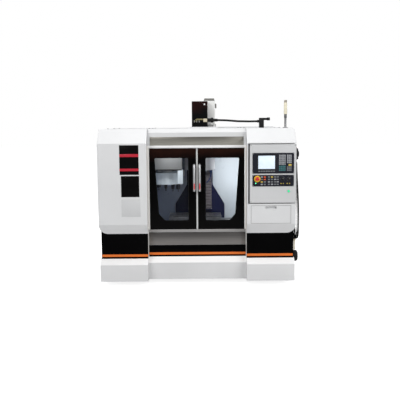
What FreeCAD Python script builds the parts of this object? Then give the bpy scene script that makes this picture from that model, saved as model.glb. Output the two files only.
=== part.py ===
"""Compact enclosed CNC machining center, in millimetres.

+X is to the operator's right, +Y runs from the doors to the back and +Z is up.  X = 0 is the plane of the
spindle and column, and the origin is on the floor under the middle of the machine.
"""
import FreeCAD, Part
import math
import os

V = FreeCAD.Vector
PARTS = {}

# ---------------------------------------------------------------- driving dimensions
FRONT_WIDTH = 1940.0        # across both side cabinets
BAY_WIDTH = 980.0           # door bay between the side cabinets
DEPTH = 1700.0              # cabinet fronts to the back of the electrical cabinet
SIDE_STEP = 150.0           # side cabinets stand this far in front of the doors
SEAM_X = -30.0              # where the doors meet, left of the spindle plane
SHEET = 3.0                 # sheet metal
FIT = 0.3                   # gap between faces on different bodies
FOOT_GAP = 48.0             # floor to tray
RIM_LOW = 214.0             # top of the tray's upright wall
RIM_TOP = 270.0             # top of the sloped rim
RIM_SLOPE = 50.0            # how far the rim leans out over the tray
SILL_LOW = 388.0            # top of the centre skirt
SILL_TOP = 543.0            # door ledge
FACE_LOW = 619.0            # foot of the upright cabinet face
CHAMFER_LOW = 522.0         # foot of the cabinet's lower slope
CHAMFER_DEPTH = 50.0        # its setback
CORNER_RADIUS = 86.0        # rounded lower outer corner of a cabinet
FACE_TOP = 1415.0           # head of the upright cabinet face
TOP_Z = 1555.0              # roof
TOP_SETBACK = 140.0         # setback of the roof's front edge over a cabinet
CABINET_DEPTH = 420.0       # front to back of a side cabinet
BODY_BACK = 1450.0          # setback of the rear panel
SIDE_INSET = 15.0           # the skirt stands inside the cabinet's side
TRAY_INSET = 7.0
SKIRT_BACK = 20.0
EDGE_RADIUS = 8.0           # bend at the outer edges of the cabinets

WALL_LEFT = -600.0          # splash walls of the work area
WALL_RIGHT = 560.0
WALL_FRONT = 206.0          # setback
DOOR_WIDTH = 475.0
DOOR_TOP = 1370.0
DOOR_SETBACK = 166.0        # outer face of the doors behind the cabinet fronts
DOOR_THICK = 28.0
DOOR_TRAVEL = 395.0
SEAL_WIDTH = 17.0
WINDOW_INNER = 83.0         # from the seam to the window's inner edge
WINDOW_OUTER_TOP = 428.0
WINDOW_OUTER_LOW = 388.0
WINDOW_DROP = 102.0         # door top to window top
WINDOW_LOW = 631.0
WINDOW_CORNER = 62.0        # cut at the lower outer corner
WINDOW_RADIUS = 14.0
GLASS = 6.0
REBATE = 10.0               # the pane laps the frame by this much
HANDLE_OFFSET = 27.0        # from the seam
HANDLE_DROP = 166.0         # door top to handle top
HANDLE_LENGTH = 280.0
HANDLE_REACH = 52.0
HANDLE_RADIUS = 12.0        # half the bar's width
HANDLE_BEND = 12.0          # inside its bends

SPINDLE_SETBACK = 700.0
NOSE_Z = 992.0              # spindle face in the tool change position
NOSE_RADIUS = 50.0
FLANGE_RADIUS = 75.0
CARTRIDGE_RADIUS = 60.0      # in the head
HEAD_LOW = 1110.0
FLANGE_THICK = 18.0
HEAD_TOP = 1400.0
HEAD_WIDTH = 330.0
HEAD_FRONT = 590.0          # setback
HEAD_BACK = 1040.0
Z_TRAVEL = 300.0
SHAFT_RADIUS = 30.0
SHAFT_FIT = 0.05
TAPER_RADIUS = 15.875       # 7:24 taper at the gauge line
TAPER_DEPTH = 48.4
DRAWBAR_RADIUS = 9.0
SPINDLE_PULLEY = 54.0
KEY_OFFSET = 25.0           # drive keys from the axis
KEY_WIDTH = 16.0
KEY_DROP = 8.0              # below the spindle face
MOTOR_SIZE = 150.0          # spindle motor, square
HOSE_X = 118.0
HOSE_SETBACK = 640.0
HOSE_RADIUS = 7.0

COLUMN_FACE = 1080.0        # setback
COLUMN_BACK = 1440.0
COLUMN_WIDTH = 290.0
COLUMN_BASE_WIDTH = 560.0
COLUMN_FLARE_LOW = 690.0
COLUMN_FLARE_TOP = 913.0
COLUMN_TOP = 1500.0
BELLOWS_LOW = 640.0
BELLOWS_FOLDS = 14
BELLOWS_DEEP = 22.0
BELLOWS_SHALLOW = 10.0
BED_TOP = 430.0
BED_LOW = 72.0
BED_WIDTH = 680.0
BED_FRONT = 330.0
BED_RIB = 55.0
FOOT_X = (-290.0, 290.0)
FOOT_SETBACKS = (400.0, 900.0, 1390.0)
FOOT_RADIUS = 46.0
RAIL_WIDTH = 25.0
RAIL_HEIGHT = 26.0
Y_RAIL_OFFSET = 200.0
Z_RAIL_OFFSET = 95.0
X_RAIL_OFFSET = 105.0
SCREW_RADIUS = 12.5
SCREW_SINK = 4.0            # Z screw behind the column's face
Z_SCREW_LOW = 690.0
PULLEY_RADIUS = 34.0
PULLEY_WIDTH = 26.0

TABLE_LENGTH = 560.0
TABLE_DEPTH = 280.0
TABLE_GAP = 30.0            # saddle to the table's underside, over the rails
TABLE_THICK = 52.0
TABLE_X = -52.0             # table centre at rest
SLOT_WIDTH = 14.0
SLOT_PITCH = 80.0
SLOT_DEPTH = 25.0
SLOT_FOOT = 12.0
CAR_OFFSET = 105.0
SADDLE_DEPTH = 390.0
SADDLE_HALF = 350.0
SADDLE_GAP = 32.0           # bed to the saddle's underside
SADDLE_THICK = 78.0

DISC_X = -362.0             # tool disc centre
POCKET_CIRCLE = 150.0
POCKETS = 12
FIRST_TOOL = 6              # pockets before it are empty
DISC_DROP = 22.0            # below the spindle face
DISC_THICK = 10.0
HUB_BORE = 12.0
HUB_RADIUS = 34.0
HUB_DROP = 12.0
HUB_RISE = 52.0
GROOVE_RADIUS = 19.0        # holder's gripping groove
HOLDER_FLANGE = 23.0
COVER_GAP = 36.0            # pocket circle to the cover
COVER_HEIGHT = 118.0        # over the disc
COVER_SHEET = 2.0
COVER_OPENING = 46.0        # half angle of the cover's opening towards the spindle
ARM_THICK = 18.0
BEAM_SETBACK = SPINDLE_SETBACK + POCKET_CIRCLE + COVER_GAP + 74
BEAM_Z = 1052.0

PENDANT_LEFT = 486.0
PENDANT_LOW = 826.0
PENDANT_TOP = 1400.0
PENDANT_DEPTH = 120.0
UNIT_LEFT = 512.0           # display and key unit
UNIT_WIDTH = 404.0
UNIT_LOW = 1116.0
UNIT_HEIGHT = 200.0
PANEL_LOW = 990.0           # operator panel
PANEL_HEIGHT = 111.0
DRAWER_LOW = 628.0
DRAWER_HEIGHT = 170.0
DRAWER_DEPTH = 132.0

POWER_LEFT = 60.0           # electrical cabinet
POWER_RIGHT = 880.0
POWER_LOW = 290.0
POWER_TOP = 1566.0
POWER_FRONT = 1455.0        # setback
POWER_DOOR = 20.0
LATCH_STEM = 8.0
VENT_X = 610.0              # vent field of its door
VENT_Z = 380.0
VENT_WIDTH = 190.0
VENT_PITCH = 18.0
VENT_SLOTS = 7
HINGE_PIN = 3.0
HINGE_KNUCKLE = 6.4

COVER_LEFT = -84.0          # cover of the Z drive
COVER_RIGHT = 92.0
COVER_FRONT = 985.0         # setback
COVER_DEPTH = 165.0
DRIVE_TOP = 1853.0
Z_MOTOR_X = 115.0
Z_MOTOR_SETBACK = 1225.0
Z_MOTOR_SIZE = 130.0
Z_MOTOR_STAND = 100.0       # over the column's top
Z_MOTOR_TOP = 1868.0
CONDUIT_Z = 1643.0
CONDUIT_SETBACK = 1010.0
CONDUIT_END = 670.0
LIGHT_X = 869.0
LIGHT_SETBACK = 300.0
AUGER_SETBACK = 330.0
AUGER_Z = 234.0
AUGER_RADIUS = 58.0
AIR_SETBACK = 300.0
AIR_Z = 431.0
PORT_RADIUS = 6.0           # air inlet
HAND_SETBACK = 210.0
HAND_Z = 1296.0
HOOK_Z = 1046.0
CORD_RADIUS = 10.0          # over the curls
STOP_STEM = 11.0
START_STEM = 8.0
KNOB_SHAFT = 3.0

# ---------------------------------------------------------------- places worked out from them
FRONT_Y = -DEPTH / 2
LEFT_X = SEAM_X - FRONT_WIDTH / 2
RIGHT_X = SEAM_X + FRONT_WIDTH / 2
BAY_LEFT = SEAM_X - BAY_WIDTH / 2
BAY_RIGHT = SEAM_X + BAY_WIDTH / 2
DRAWER_LEFT = BAY_RIGHT + 43
DRAWER_WIDTH = RIGHT_X - 53 - DRAWER_LEFT
BAY_Y = FRONT_Y + SIDE_STEP
SPINDLE_Y = FRONT_Y + SPINDLE_SETBACK
WINDOW_TOP = DOOR_TOP - WINDOW_DROP
HANDLE_TOP = DOOR_TOP - HANDLE_DROP
SADDLE_LOW = BED_TOP + SADDLE_GAP
SADDLE_TOP = SADDLE_LOW + SADDLE_THICK
TABLE_TOP = SADDLE_TOP + TABLE_GAP + TABLE_THICK
Y_SCREW_Z = BED_TOP - 34
X_SCREW_Z = SADDLE_TOP - 20
DISC_Z = NOSE_Z - DISC_DROP
COVER_RADIUS = POCKET_CIRCLE + COVER_GAP
COVER_TOP = DISC_Z + COVER_HEIGHT
CHANGER_STROKE = -POCKET_CIRCLE - DISC_X
STOP_X, STOP_Z = UNIT_LEFT + 46, PANEL_LOW + 74
START_X, START_Z = UNIT_LEFT + 353, PANEL_LOW - 48
KNOB_X = (UNIT_LEFT + 295, UNIT_LEFT + 356)
HINGE_X = RIGHT_X + 7
HINGE_Y = FRONT_Y + PENDANT_DEPTH
HINGE_Z = (PENDANT_LOW + 74, PENDANT_TOP - 80)
CONDUIT_Y = FRONT_Y + CONDUIT_SETBACK
HAND_Y = FRONT_Y + HAND_SETBACK
DOOR_HINGE_X = POWER_RIGHT + 7
DOOR_HINGE_Y = FRONT_Y + DEPTH - POWER_DOOR
DOOR_HINGE_Z = (POWER_LOW + 130, (POWER_LOW + POWER_TOP) / 2 + 2, POWER_TOP - 136)
LATCH_X = POWER_LEFT + 45
LATCH_Z = 960.0
SWITCH_Z = 1300.0
# the cord's control points: out beyond the right side, back from the hand unit, height
CORD_PLACES = [(25, -12, 1231), (25, -12, 1160), (31, -14, 1060), (38, -18, 930), (46, -22, 780),
               (50, -20, 630), (50, -12, 515), (46, 6, 447), (38, 42, 438), (28, 66, 490), (22, 72, 590),
               (20, 66, 740), (18, 54, 880), (17, 46, 980), (17, 46, HOOK_Z - 16)]
CORD_ROUTE = [(RIGHT_X + out, HAND_Y + along, z) for out, along, z in CORD_PLACES]


# ---------------------------------------------------------------- helpers
def back(setback):
    """Y of a plane this far behind the cabinet fronts."""
    return FRONT_Y + setback


def block(x0, x1, y0, y1, z0, z1):
    """Upright block between six planes."""
    return Part.makeBox(x1 - x0, y1 - y0, z1 - z0, V(x0, y0, z0))


def rod(radius, start, end):
    """Round bar between two points."""
    start, end = V(*start), V(*end)
    return Part.makeCylinder(radius, (end - start).Length, start, end - start)


def ring(outer, inner, start, end):
    """Round bar with a bore."""
    return rod(outer, start, end).cut(rod(inner, start, end))


def face_of(points):
    """Plane face inside a closed outline."""
    return Part.Face(Part.makePolygon(points + [points[0]]))


def prism_x(profile, x0, x1):
    """(y, z) outline run along X."""
    return face_of([V(x0, y, z) for y, z in profile]).extrude(V(x1 - x0, 0, 0))


def prism_y(profile, y0, y1):
    """(x, z) outline run along Y."""
    return face_of([V(x, y0, z) for x, z in profile]).extrude(V(0, y1 - y0, 0))


def prism_z(profile, z0, z1):
    """(x, y) outline run along Z."""
    return face_of([V(x, y, z0) for x, y in profile]).extrude(V(0, 0, z1 - z0))


def turned(profile, centre):
    """(radius, z) outline turned about the upright axis through centre (x, y)."""
    x, y = centre
    outline = face_of([V(x + r, y, z) for r, z in profile])
    return outline.revolve(V(x, y, 0), V(0, 0, 1), 360)


def flats(radius, sides, centre):
    """Corners of a regular polygon whose flats stand at radius from centre."""
    reach = radius / math.cos(math.pi / sides)
    steps = [2 * math.pi * (index + 0.5) / sides for index in range(sides)]
    return [(centre[0] + reach * math.cos(a), centre[1] + reach * math.sin(a)) for a in steps]


def lathe(profile, start, axis, sides, flute=0.0):
    """(radius, distance) outline turned in flats, for small or repeated round pieces.

    The outline starts and ends on the axis, or closes on itself round a bore; every second corner can be
    drawn in by a share of its radius, which flutes the piece.
    """
    start, axis = V(*start), V(*axis)
    across = V(0, 0, 1) if abs(axis.z) < 0.5 else V(1, 0, 0)
    other = axis.cross(across)

    def corner(radius, along, index):
        angle = 2 * math.pi * (index + 0.5) / sides
        drawn_in = radius * (1 - flute * (index % 2))
        return start + axis * along + (across * math.cos(angle) + other * math.sin(angle)) * drawn_in
    faces = []
    for (r0, a0), (r1, a1) in zip(profile, profile[1:]):
        for index in range(sides):
            corners = [corner(r0, a0, index), corner(r0, a0, index + 1), corner(r1, a1, index + 1),
                       corner(r1, a1, index)]
            if r0 == 0:
                del corners[0]
            if r1 == 0:
                del corners[-1]
            faces.append(face_of(corners))
    solid = Part.Solid(Part.Shell(faces))
    if solid.Volume < 0:
        solid.reverse()
    return solid.removeSplitter()


def fused(shapes):
    """One solid from several that meet."""
    return shapes[0].multiFuse(shapes[1:]).removeSplitter()


def rounded(shape, radius, wanted):
    """Fillet the edges that wanted() picks by their two ends."""
    ends = [(edge, [corner.Point for corner in edge.Vertexes]) for edge in shape.Edges]
    edges = [edge for edge, points in ends if len(points) == 2 and wanted(*points)]
    return shape.makeFillet(radius, edges)


def chamfered(shape, size, wanted):
    """Take off the edges that wanted() picks by their two ends."""
    ends = [(edge, [corner.Point for corner in edge.Vertexes]) for edge in shape.Edges]
    edges = [edge for edge, points in ends if len(points) == 2 and wanted(*points)]
    return shape.makeChamfer(size, edges)


def upright(a, b):
    """True for an edge along Z."""
    return abs(a.x - b.x) < 1e-6 and abs(a.y - b.y) < 1e-6


def along_y(a, b):
    """True for an edge along Y."""
    return abs(a.x - b.x) < 1e-6 and abs(a.z - b.z) < 1e-6


def along_x(a, b):
    """True for an edge along X."""
    return abs(a.y - b.y) < 1e-6 and abs(a.z - b.z) < 1e-6


def hollow(shape, wall, open_faces):
    """Sheet shell of a solid, without the faces that open_faces() picks by centre and normal."""
    chosen = [f for f in shape.Faces if open_faces(f.CenterOfMass, f.normalAt(0, 0))]
    return shape.makeThickness(chosen, -wall, 1e-3)


def bent_tube(points, radius, share=0.45, sides=8):
    """Tube of flats along straight runs joined by tangent arcs; prints its radii and length."""
    path = [V(*p) for p in points]
    edges = []
    radii = []
    start = path[0]
    for before, corner, after in zip(path, path[1:], path[2:]):
        into = (corner - before).normalize()
        out = (after - corner).normalize()
        half_turn = into.getAngle(out) / 2
        setback = share * min((corner - before).Length, (after - corner).Length)
        first, last = corner - into * setback, corner + out * setback
        bend = setback / math.tan(half_turn)
        radii.append(bend)
        middle_way = (out - into).normalize()
        middle = corner + middle_way * (bend / math.cos(half_turn) - bend)
        edges.append(Part.makeLine(start, first))
        edges.append(Part.Arc(first, middle, last).toShape())
        start = last
    edges.append(Part.makeLine(start, path[-1]))
    spine = Part.Wire(edges)
    way = (path[1] - path[0]).normalize()
    across = (V(0, 1, 0) if abs(way.y) < 0.5 else V(0, 0, 1)).cross(way).normalize()
    other = way.cross(across)
    steps = [2 * math.pi * (index + 0.5) / sides for index in range(sides + 1)]
    outline = [path[0] + (across * math.cos(a) + other * math.sin(a)) * radius for a in steps]
    solid = spine.makePipeShell([Part.makePolygon(outline)], True, False)
    section = sides / 2 * radius ** 2 * math.sin(2 * math.pi / sides)
    ratio = solid.Volume / (section * spine.Length)
    print(f"tube: length {spine.Length:.0f} mm, least radius {min(radii):.0f} mm, volume ratio {ratio:.4f}")
    return solid


def hinge_half(leaf, x, y, z0, z1):
    """A hinge leaf with its knuckle in eight flats, bored for the pin."""
    barrel = prism_z(flats(HINGE_KNUCKLE, 8, (x, y)), z0, z1)
    return leaf.fuse(barrel).cut(rod(HINGE_PIN + SHAFT_FIT, (x, y, z0 - 1), (x, y, z1 + 1)))


def mirrored(shape, x=SEAM_X):
    """The same piece on the other side of an upright plane."""
    return shape.mirror(V(x, 0, 0), V(1, 0, 0))


def keep(name, shape):
    """Store a piece and name it if it isn't sound."""
    if not shape.isValid():
        print("NOT VALID:", name)
    PARTS[name] = shape


# ---------------------------------------------------------------- base
def levelling_feet():
    """Six pads with studs and lock nuts under the bed."""
    feet = []
    for x in FOOT_X:
        for setback in FOOT_SETBACKS:
            y = back(setback)
            pad = lathe([(0, 0), (FOOT_RADIUS, 0), (FOOT_RADIUS - 10, 20), (0, 20)], (x, y, 0),
                        (0, 0, 1), 10)
            stud = prism_z(flats(9, 6, (x, y)), 19, BED_LOW)
            nut = prism_z(flats(16, 6, (x, y)), BED_LOW - 16, BED_LOW)
            feet.append(fused([pad, stud, nut]))
    return Part.makeCompound(feet)


def tray_outline(inset):
    """Stepped plan of the tray, drawn in by inset."""
    left, right = LEFT_X + TRAY_INSET + inset, RIGHT_X - TRAY_INSET - inset
    front, rear = FRONT_Y + inset, back(BODY_BACK) - inset
    step = BAY_Y - RIM_SLOPE + inset
    return [(left, front), (BAY_LEFT - inset, front), (BAY_LEFT - inset, step), (BAY_RIGHT + inset, step),
            (BAY_RIGHT + inset, front), (right, front), (right, rear), (left, rear)]


def coolant_tray():
    """Open tank with a stepped front and clearance holes for the feet."""
    tray = prism_z(tray_outline(0), FOOT_GAP, RIM_LOW)
    tray = tray.cut(prism_z(tray_outline(SHEET), FOOT_GAP + SHEET, RIM_LOW + 1))
    for x in FOOT_X:
        for setback in FOOT_SETBACKS:
            hole = flats(FOOT_RADIUS + 10, 8, (x, back(setback)))
            tray = tray.cut(prism_z(hole, FOOT_GAP - 1, FOOT_GAP + 2 * SHEET))
    return tray


def rim_body(inset):
    """Solid under the sloped rim: a short prism whose front and side edges lean in."""
    body = prism_z(tray_outline(inset), RIM_LOW, RIM_TOP - inset)
    slope = RIM_SLOPE

    def leans(a, b):
        top = abs(a.z - (RIM_TOP - inset)) < 1e-6 and abs(b.z - a.z) < 1e-6
        return top and max(a.y, b.y) < BAY_Y and abs(a.y - b.y) < 1e-6
    return body.makeChamfer(slope, [e for e in body.Edges if leans(e.Vertexes[0].Point, e.Vertexes[1].Point)])


def tray_rim():
    """Sloped drip rim round the top of the tray."""
    rim = rim_body(0).cut(rim_body(SHEET).translate(V(0, 0, -0.01)))
    well = tray_outline(RIM_SLOPE + 12)
    rim = rim.cut(prism_z(well, RIM_LOW - 1, RIM_TOP + 1))
    half = BED_WIDTH / 2 + 4
    return rim.cut(block(-half, half, back(BED_FRONT), back(BODY_BACK - SHEET - 2), RIM_LOW, RIM_TOP + 1))


def skirt_side():
    """Black skirt under the left cabinet: front, outer side and return, rising behind the cabinet's slope."""
    left, right = LEFT_X + SIDE_INSET, BAY_LEFT
    front, rear = back(CHAMFER_DEPTH) + SHEET + 1, back(BODY_BACK - SKIRT_BACK)
    top = FACE_LOW - 9
    walls = [block(left, right - SHEET, front, front + SHEET, RIM_TOP, top),
             block(left, left + SHEET, front, rear, RIM_TOP, top),
             block(right - SHEET, right, front, BAY_Y + 10, RIM_TOP, CHAMFER_LOW - 2)]
    return rounded(fused(walls), 6, lambda a, b: upright(a, b) and abs(a.x - left) < 1e-6
                   and abs(a.y - front) < 1e-6)


def plinth_skirts():
    """The two side skirts and the lower skirt between them."""
    centre = block(BAY_LEFT + FIT, BAY_RIGHT - FIT, BAY_Y, BAY_Y + SHEET, RIM_TOP, SILL_LOW)
    flange = block(BAY_LEFT + FIT, BAY_RIGHT - FIT, BAY_Y, BAY_Y + 25, RIM_TOP, RIM_TOP + SHEET)
    side = skirt_side()
    return Part.makeCompound([side, fused([centre, flange]), mirrored(side)])


# ---------------------------------------------------------------- enclosure
def cabinet_profile():
    """(y, z) outline of a side cabinet."""
    rear = back(CABINET_DEPTH)
    return [(back(CHAMFER_DEPTH), CHAMFER_LOW), (FRONT_Y, FACE_LOW), (FRONT_Y, FACE_TOP),
            (back(TOP_SETBACK), TOP_Z), (rear, TOP_Z), (rear, CHAMFER_LOW)]


def left_cabinet():
    """Folded housing open at the back, the bottom and the bay side, with a return beside the doors."""
    body = prism_x(cabinet_profile(), LEFT_X, BAY_LEFT)

    def outer_edge(a, b):
        on_side = abs(a.x - LEFT_X) < 1e-6 and abs(b.x - LEFT_X) < 1e-6
        return on_side and max(a.y, b.y) < back(CABINET_DEPTH) + 1 and max(a.z, b.z) > FACE_LOW - 1 and \
            min(a.y, b.y) < back(CABINET_DEPTH) - 1 and min(a.z, b.z) > FACE_LOW - 1
    body = rounded(body, EDGE_RADIUS, outer_edge)
    shell = hollow(body, SHEET, lambda c, n: abs(c.x - BAY_LEFT) < 1e-3 or abs(c.z - CHAMFER_LOW) < 1e-3
                   or abs(c.y - back(CABINET_DEPTH)) < 1e-3)
    side_return = prism_x(cabinet_profile(), BAY_LEFT - SHEET, BAY_LEFT)
    side_return = side_return.common(block(BAY_LEFT - 5, BAY_LEFT + 1, FRONT_Y - 1, BAY_Y, 0, 2000))
    shell = fused([shell, side_return])
    corner = block(LEFT_X - 1, LEFT_X + CORNER_RADIUS, FRONT_Y - 1, back(CABINET_DEPTH) + 1,
                   CHAMFER_LOW - 1, CHAMFER_LOW + CORNER_RADIUS)
    centre_x, centre_z = LEFT_X + CORNER_RADIUS, CHAMFER_LOW + CORNER_RADIUS
    arc = rod(CORNER_RADIUS, (centre_x, FRONT_Y - 2, centre_z), (centre_x, back(CABINET_DEPTH) + 2, centre_z))
    return shell.cut(corner.cut(arc))


def right_cabinet():
    """The left cabinet's mirror image, with a bay for the pendant and a hole for the drawer."""
    shell = mirrored(left_cabinet())
    gap = 8.0
    left, low, high = PENDANT_LEFT - 2 * gap, PENDANT_LOW - gap, PENDANT_TOP + gap
    rear = back(PENDANT_DEPTH + 2)
    shell = shell.cut(block(left, RIGHT_X + 1, FRONT_Y - 1, rear, low, high))
    room = [block(left - SHEET, RIGHT_X, rear, rear + SHEET, low - SHEET, high + SHEET),
            block(left - SHEET, left, FRONT_Y + SHEET, rear + 1, low - SHEET, high + SHEET),
            block(left - SHEET, RIGHT_X, FRONT_Y + SHEET, rear + 1, low - SHEET, low),
            block(left - SHEET, RIGHT_X, FRONT_Y + SHEET, rear + 1, high, high + SHEET)]
    skin = prism_x(cabinet_profile(), left - 10, RIGHT_X)
    shell = fused([shell] + [piece.common(skin) for piece in room])
    hole = block(DRAWER_LEFT + 8, DRAWER_LEFT + DRAWER_WIDTH - 8, FRONT_Y - 1, FRONT_Y + 20,
                 DRAWER_LOW + 8, DRAWER_LOW + DRAWER_HEIGHT - 3)
    pocket = block(DRAWER_LEFT - 1.5, DRAWER_LEFT + DRAWER_WIDTH + 1.5, FRONT_Y - 1, FRONT_Y + 1.5,
                   DRAWER_LOW - 1.5, DRAWER_LOW + DRAWER_HEIGHT + 1.5)
    return Part.makeCompound([shell.cut(hole).cut(pocket)] + pendant_hinges())


def front_header():
    """Panel over the doors, leaning back to the roof, with the grooved track that the doors hang on."""
    lean = 60.0
    profile = [(BAY_Y, DOOR_TOP - 7), (BAY_Y, TOP_Z - 38), (BAY_Y + lean, TOP_Z),
               (BAY_Y + lean + 60, TOP_Z), (BAY_Y + lean + 60, DOOR_TOP - 7)]
    body = prism_x(profile, BAY_LEFT + FIT, BAY_RIGHT - FIT)
    header = hollow(body, SHEET, lambda c, n: abs(abs(n.x) - 1) < 1e-6 or c.y > BAY_Y + lean + 59
                    or c.z < DOOR_TOP - 6)
    y = back(DOOR_SETBACK + DOOR_THICK / 2)
    left, right = LEFT_X + 40, RIGHT_X - 40
    track = block(left, right, y - 6, y + 6, DOOR_TOP + 6, DOOR_TOP + 30)
    for side in (-1, 1):
        groove = y + side * 6
        track = track.cut(block(left - 1, right + 1, groove - 2.5, groove + 2.5, DOOR_TOP + 14,
                                DOOR_TOP + 20))
    places = (BAY_LEFT + 80, SEAM_X, BAY_RIGHT - 80)
    hangers = [block(x - 30, x + 30, BAY_Y + 1, y + 6, DOOR_TOP + 36, DOOR_TOP + 42) for x in places]
    posts = [block(x - 30, x + 30, y - 5, y + 5, DOOR_TOP + 29, DOOR_TOP + 37) for x in places]
    return fused([header, track] + hangers + posts)


def door_sill():
    """Front sheet under the doors with its ledge, the trough behind it and the doors' guide rail."""
    left, right = BAY_LEFT + FIT, BAY_RIGHT - FIT
    face = block(left, right, BAY_Y, BAY_Y + SHEET, SILL_LOW, SILL_TOP)
    ledge = block(left, right, BAY_Y, back(DOOR_SETBACK) - 1, SILL_TOP - SHEET, SILL_TOP)
    drop = block(left, right, back(DOOR_SETBACK) - 1 - SHEET, back(DOOR_SETBACK) - 1, SILL_TOP - 30, SILL_TOP)
    floor = block(left, right, back(DOOR_SETBACK) - 4, back(204), SILL_TOP - 33, SILL_TOP - 30)
    rear = block(left, right, back(201), back(204), SILL_TOP - 33, SILL_TOP + 12)
    y = back(DOOR_SETBACK + DOOR_THICK / 2)
    guide = block(LEFT_X + 40, RIGHT_X - 40, y - 4, y + 4, SILL_TOP - 30, SILL_TOP - 1)
    return fused([face, ledge, drop, floor, rear, guide])


def side_panel():
    """Left side sheet behind the cabinet, folded at its ends, with a pressed louvre field."""
    front, rear = back(CABINET_DEPTH), back(BODY_BACK)
    low = CHAMFER_LOW + CORNER_RADIUS + 2
    sheet = block(LEFT_X, LEFT_X + SHEET, front, rear, low, TOP_Z - SHEET)
    fold = 20.0
    folds = [block(LEFT_X, LEFT_X + fold, front, front + SHEET, low, TOP_Z - SHEET),
             block(LEFT_X, LEFT_X + fold, rear - SHEET, rear, low, TOP_Z - SHEET)]
    panel = fused([sheet] + folds)
    for row in range(7):
        z = 800 + row * 40
        panel = panel.cut(block(LEFT_X - 1, LEFT_X + SHEET + 1, back(1120), back(1320), z, z + 10))
    return panel


def roof_panel():
    """Stepped roof sheet with the opening that the Z drive stands in."""
    centre_front = BAY_Y + 120
    outline = [(BAY_LEFT, centre_front), (BAY_RIGHT, centre_front), (BAY_RIGHT, back(CABINET_DEPTH)),
               (RIGHT_X, back(CABINET_DEPTH)), (RIGHT_X, back(BODY_BACK)),
               (LEFT_X, back(BODY_BACK)), (LEFT_X, back(CABINET_DEPTH)), (BAY_LEFT, back(CABINET_DEPTH))]
    roof = prism_z(outline, TOP_Z - SHEET, TOP_Z)
    roof = roof.cut(block(-104, 200, back(930), back(1330), TOP_Z - 10, TOP_Z + 10))
    collar = block(-107, 203, back(927), back(1333), TOP_Z - SHEET, TOP_Z + 14)
    collar = collar.cut(block(-104, 200, back(930), back(1330), TOP_Z - 10, TOP_Z + 20))
    return fused([roof, collar])


def rear_panel():
    """Back sheet with its folded top edge."""
    rear = back(BODY_BACK)
    sheet = block(LEFT_X, RIGHT_X, rear, rear + SHEET, RIM_TOP - 20, TOP_Z)
    fold = block(LEFT_X, RIGHT_X, rear - 25, rear, TOP_Z, TOP_Z + SHEET)
    return fused([sheet, fold.fuse(block(LEFT_X, RIGHT_X, rear, rear + SHEET, TOP_Z, TOP_Z + SHEET))])


def splash_tub():
    """Welded lining of the work area: side walls, back wall round the column and chip slopes."""
    front, rear = back(WALL_FRONT), back(COLUMN_FACE - 6)
    low, top, lip = BED_TOP + 70, TOP_Z - SHEET, BED_TOP - 10
    bed_half = BED_WIDTH / 2 + 4
    left = block(WALL_LEFT, WALL_LEFT + SHEET, front, rear, low, top)
    right = block(WALL_RIGHT - SHEET, WALL_RIGHT, front, rear, low, top)
    half, base = COLUMN_WIDTH / 2 + 3, COLUMN_BASE_WIDTH / 2 + 3
    outline = [(WALL_LEFT, lip), (-base, lip), (-base, COLUMN_FLARE_LOW), (-half, COLUMN_FLARE_TOP),
               (-half, top), (WALL_LEFT, top)]
    back_left = prism_y(outline, rear - SHEET, rear)
    outline = [(WALL_RIGHT, lip), (base, lip), (base, COLUMN_FLARE_LOW), (half, COLUMN_FLARE_TOP),
               (half, top), (WALL_RIGHT, top)]
    back_right = prism_y(outline, rear - SHEET, rear)
    slopes = [prism_y([(wall, low), (wall, low + 4), (side, lip + 4), (side, lip)], front, rear)
              for wall, side in ((WALL_LEFT, -bed_half), (WALL_RIGHT, bed_half))]
    front_low = SILL_TOP - 40
    apron = prism_x([(front, front_low), (front, front_low + 4), (back(BED_FRONT - 4), lip + 4),
                     (back(BED_FRONT - 4), lip)], -bed_half, bed_half)
    slope_cut = block(-bed_half, bed_half, front - 1, rear, lip, 700)
    apron = apron.common(slope_cut)
    wings = [block(-bed_half - 2, -bed_half + 2, front, back(BED_FRONT), lip, front_low + 4),
             block(bed_half - 2, bed_half + 2, front, back(BED_FRONT), lip, front_low + 4)]
    return fused([left, right, back_left, back_right] + slopes + wings + [apron])


# ---------------------------------------------------------------- castings and axes
def bed():
    """Base casting with a screw trough between its rail pads and cored sides."""
    half = BED_WIDTH / 2
    front, rear = back(BED_FRONT), back(COLUMN_BACK)
    profile = [(-half, BED_LOW), (half, BED_LOW), (half, BED_TOP - 100), (half - 60, BED_TOP - 50),
               (half - 60, BED_TOP), (-half + 60, BED_TOP), (-half + 60, BED_TOP - 50), (-half, BED_TOP - 100)]
    body = prism_y(profile, front, rear)
    body = body.cut(block(-60, 60, front - 1, back(COLUMN_FACE), BED_TOP - 80, BED_TOP + 1))
    bay = (rear - front - 6 * BED_RIB) / 5
    for index in range(5):
        y0 = front + BED_RIB + index * (bay + BED_RIB)
        for side in (-1, 1):
            outer, inner = sorted((side * (half + 1), side * 110))
            body = body.cut(block(outer, inner, y0, y0 + bay, BED_LOW + 40, BED_TOP - 130))
    bore = prism_y(flats(SCREW_RADIUS + FIT, 12, (0, Y_SCREW_Z)), front - 1, rear)
    for y0, y1 in ((front, front + 24), (back(COLUMN_FACE - 30), back(COLUMN_FACE))):
        body = body.fuse(block(-60, 60, y0, y1, BED_TOP - 80, BED_TOP - 2).cut(bore))
    return body.removeSplitter()


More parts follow.
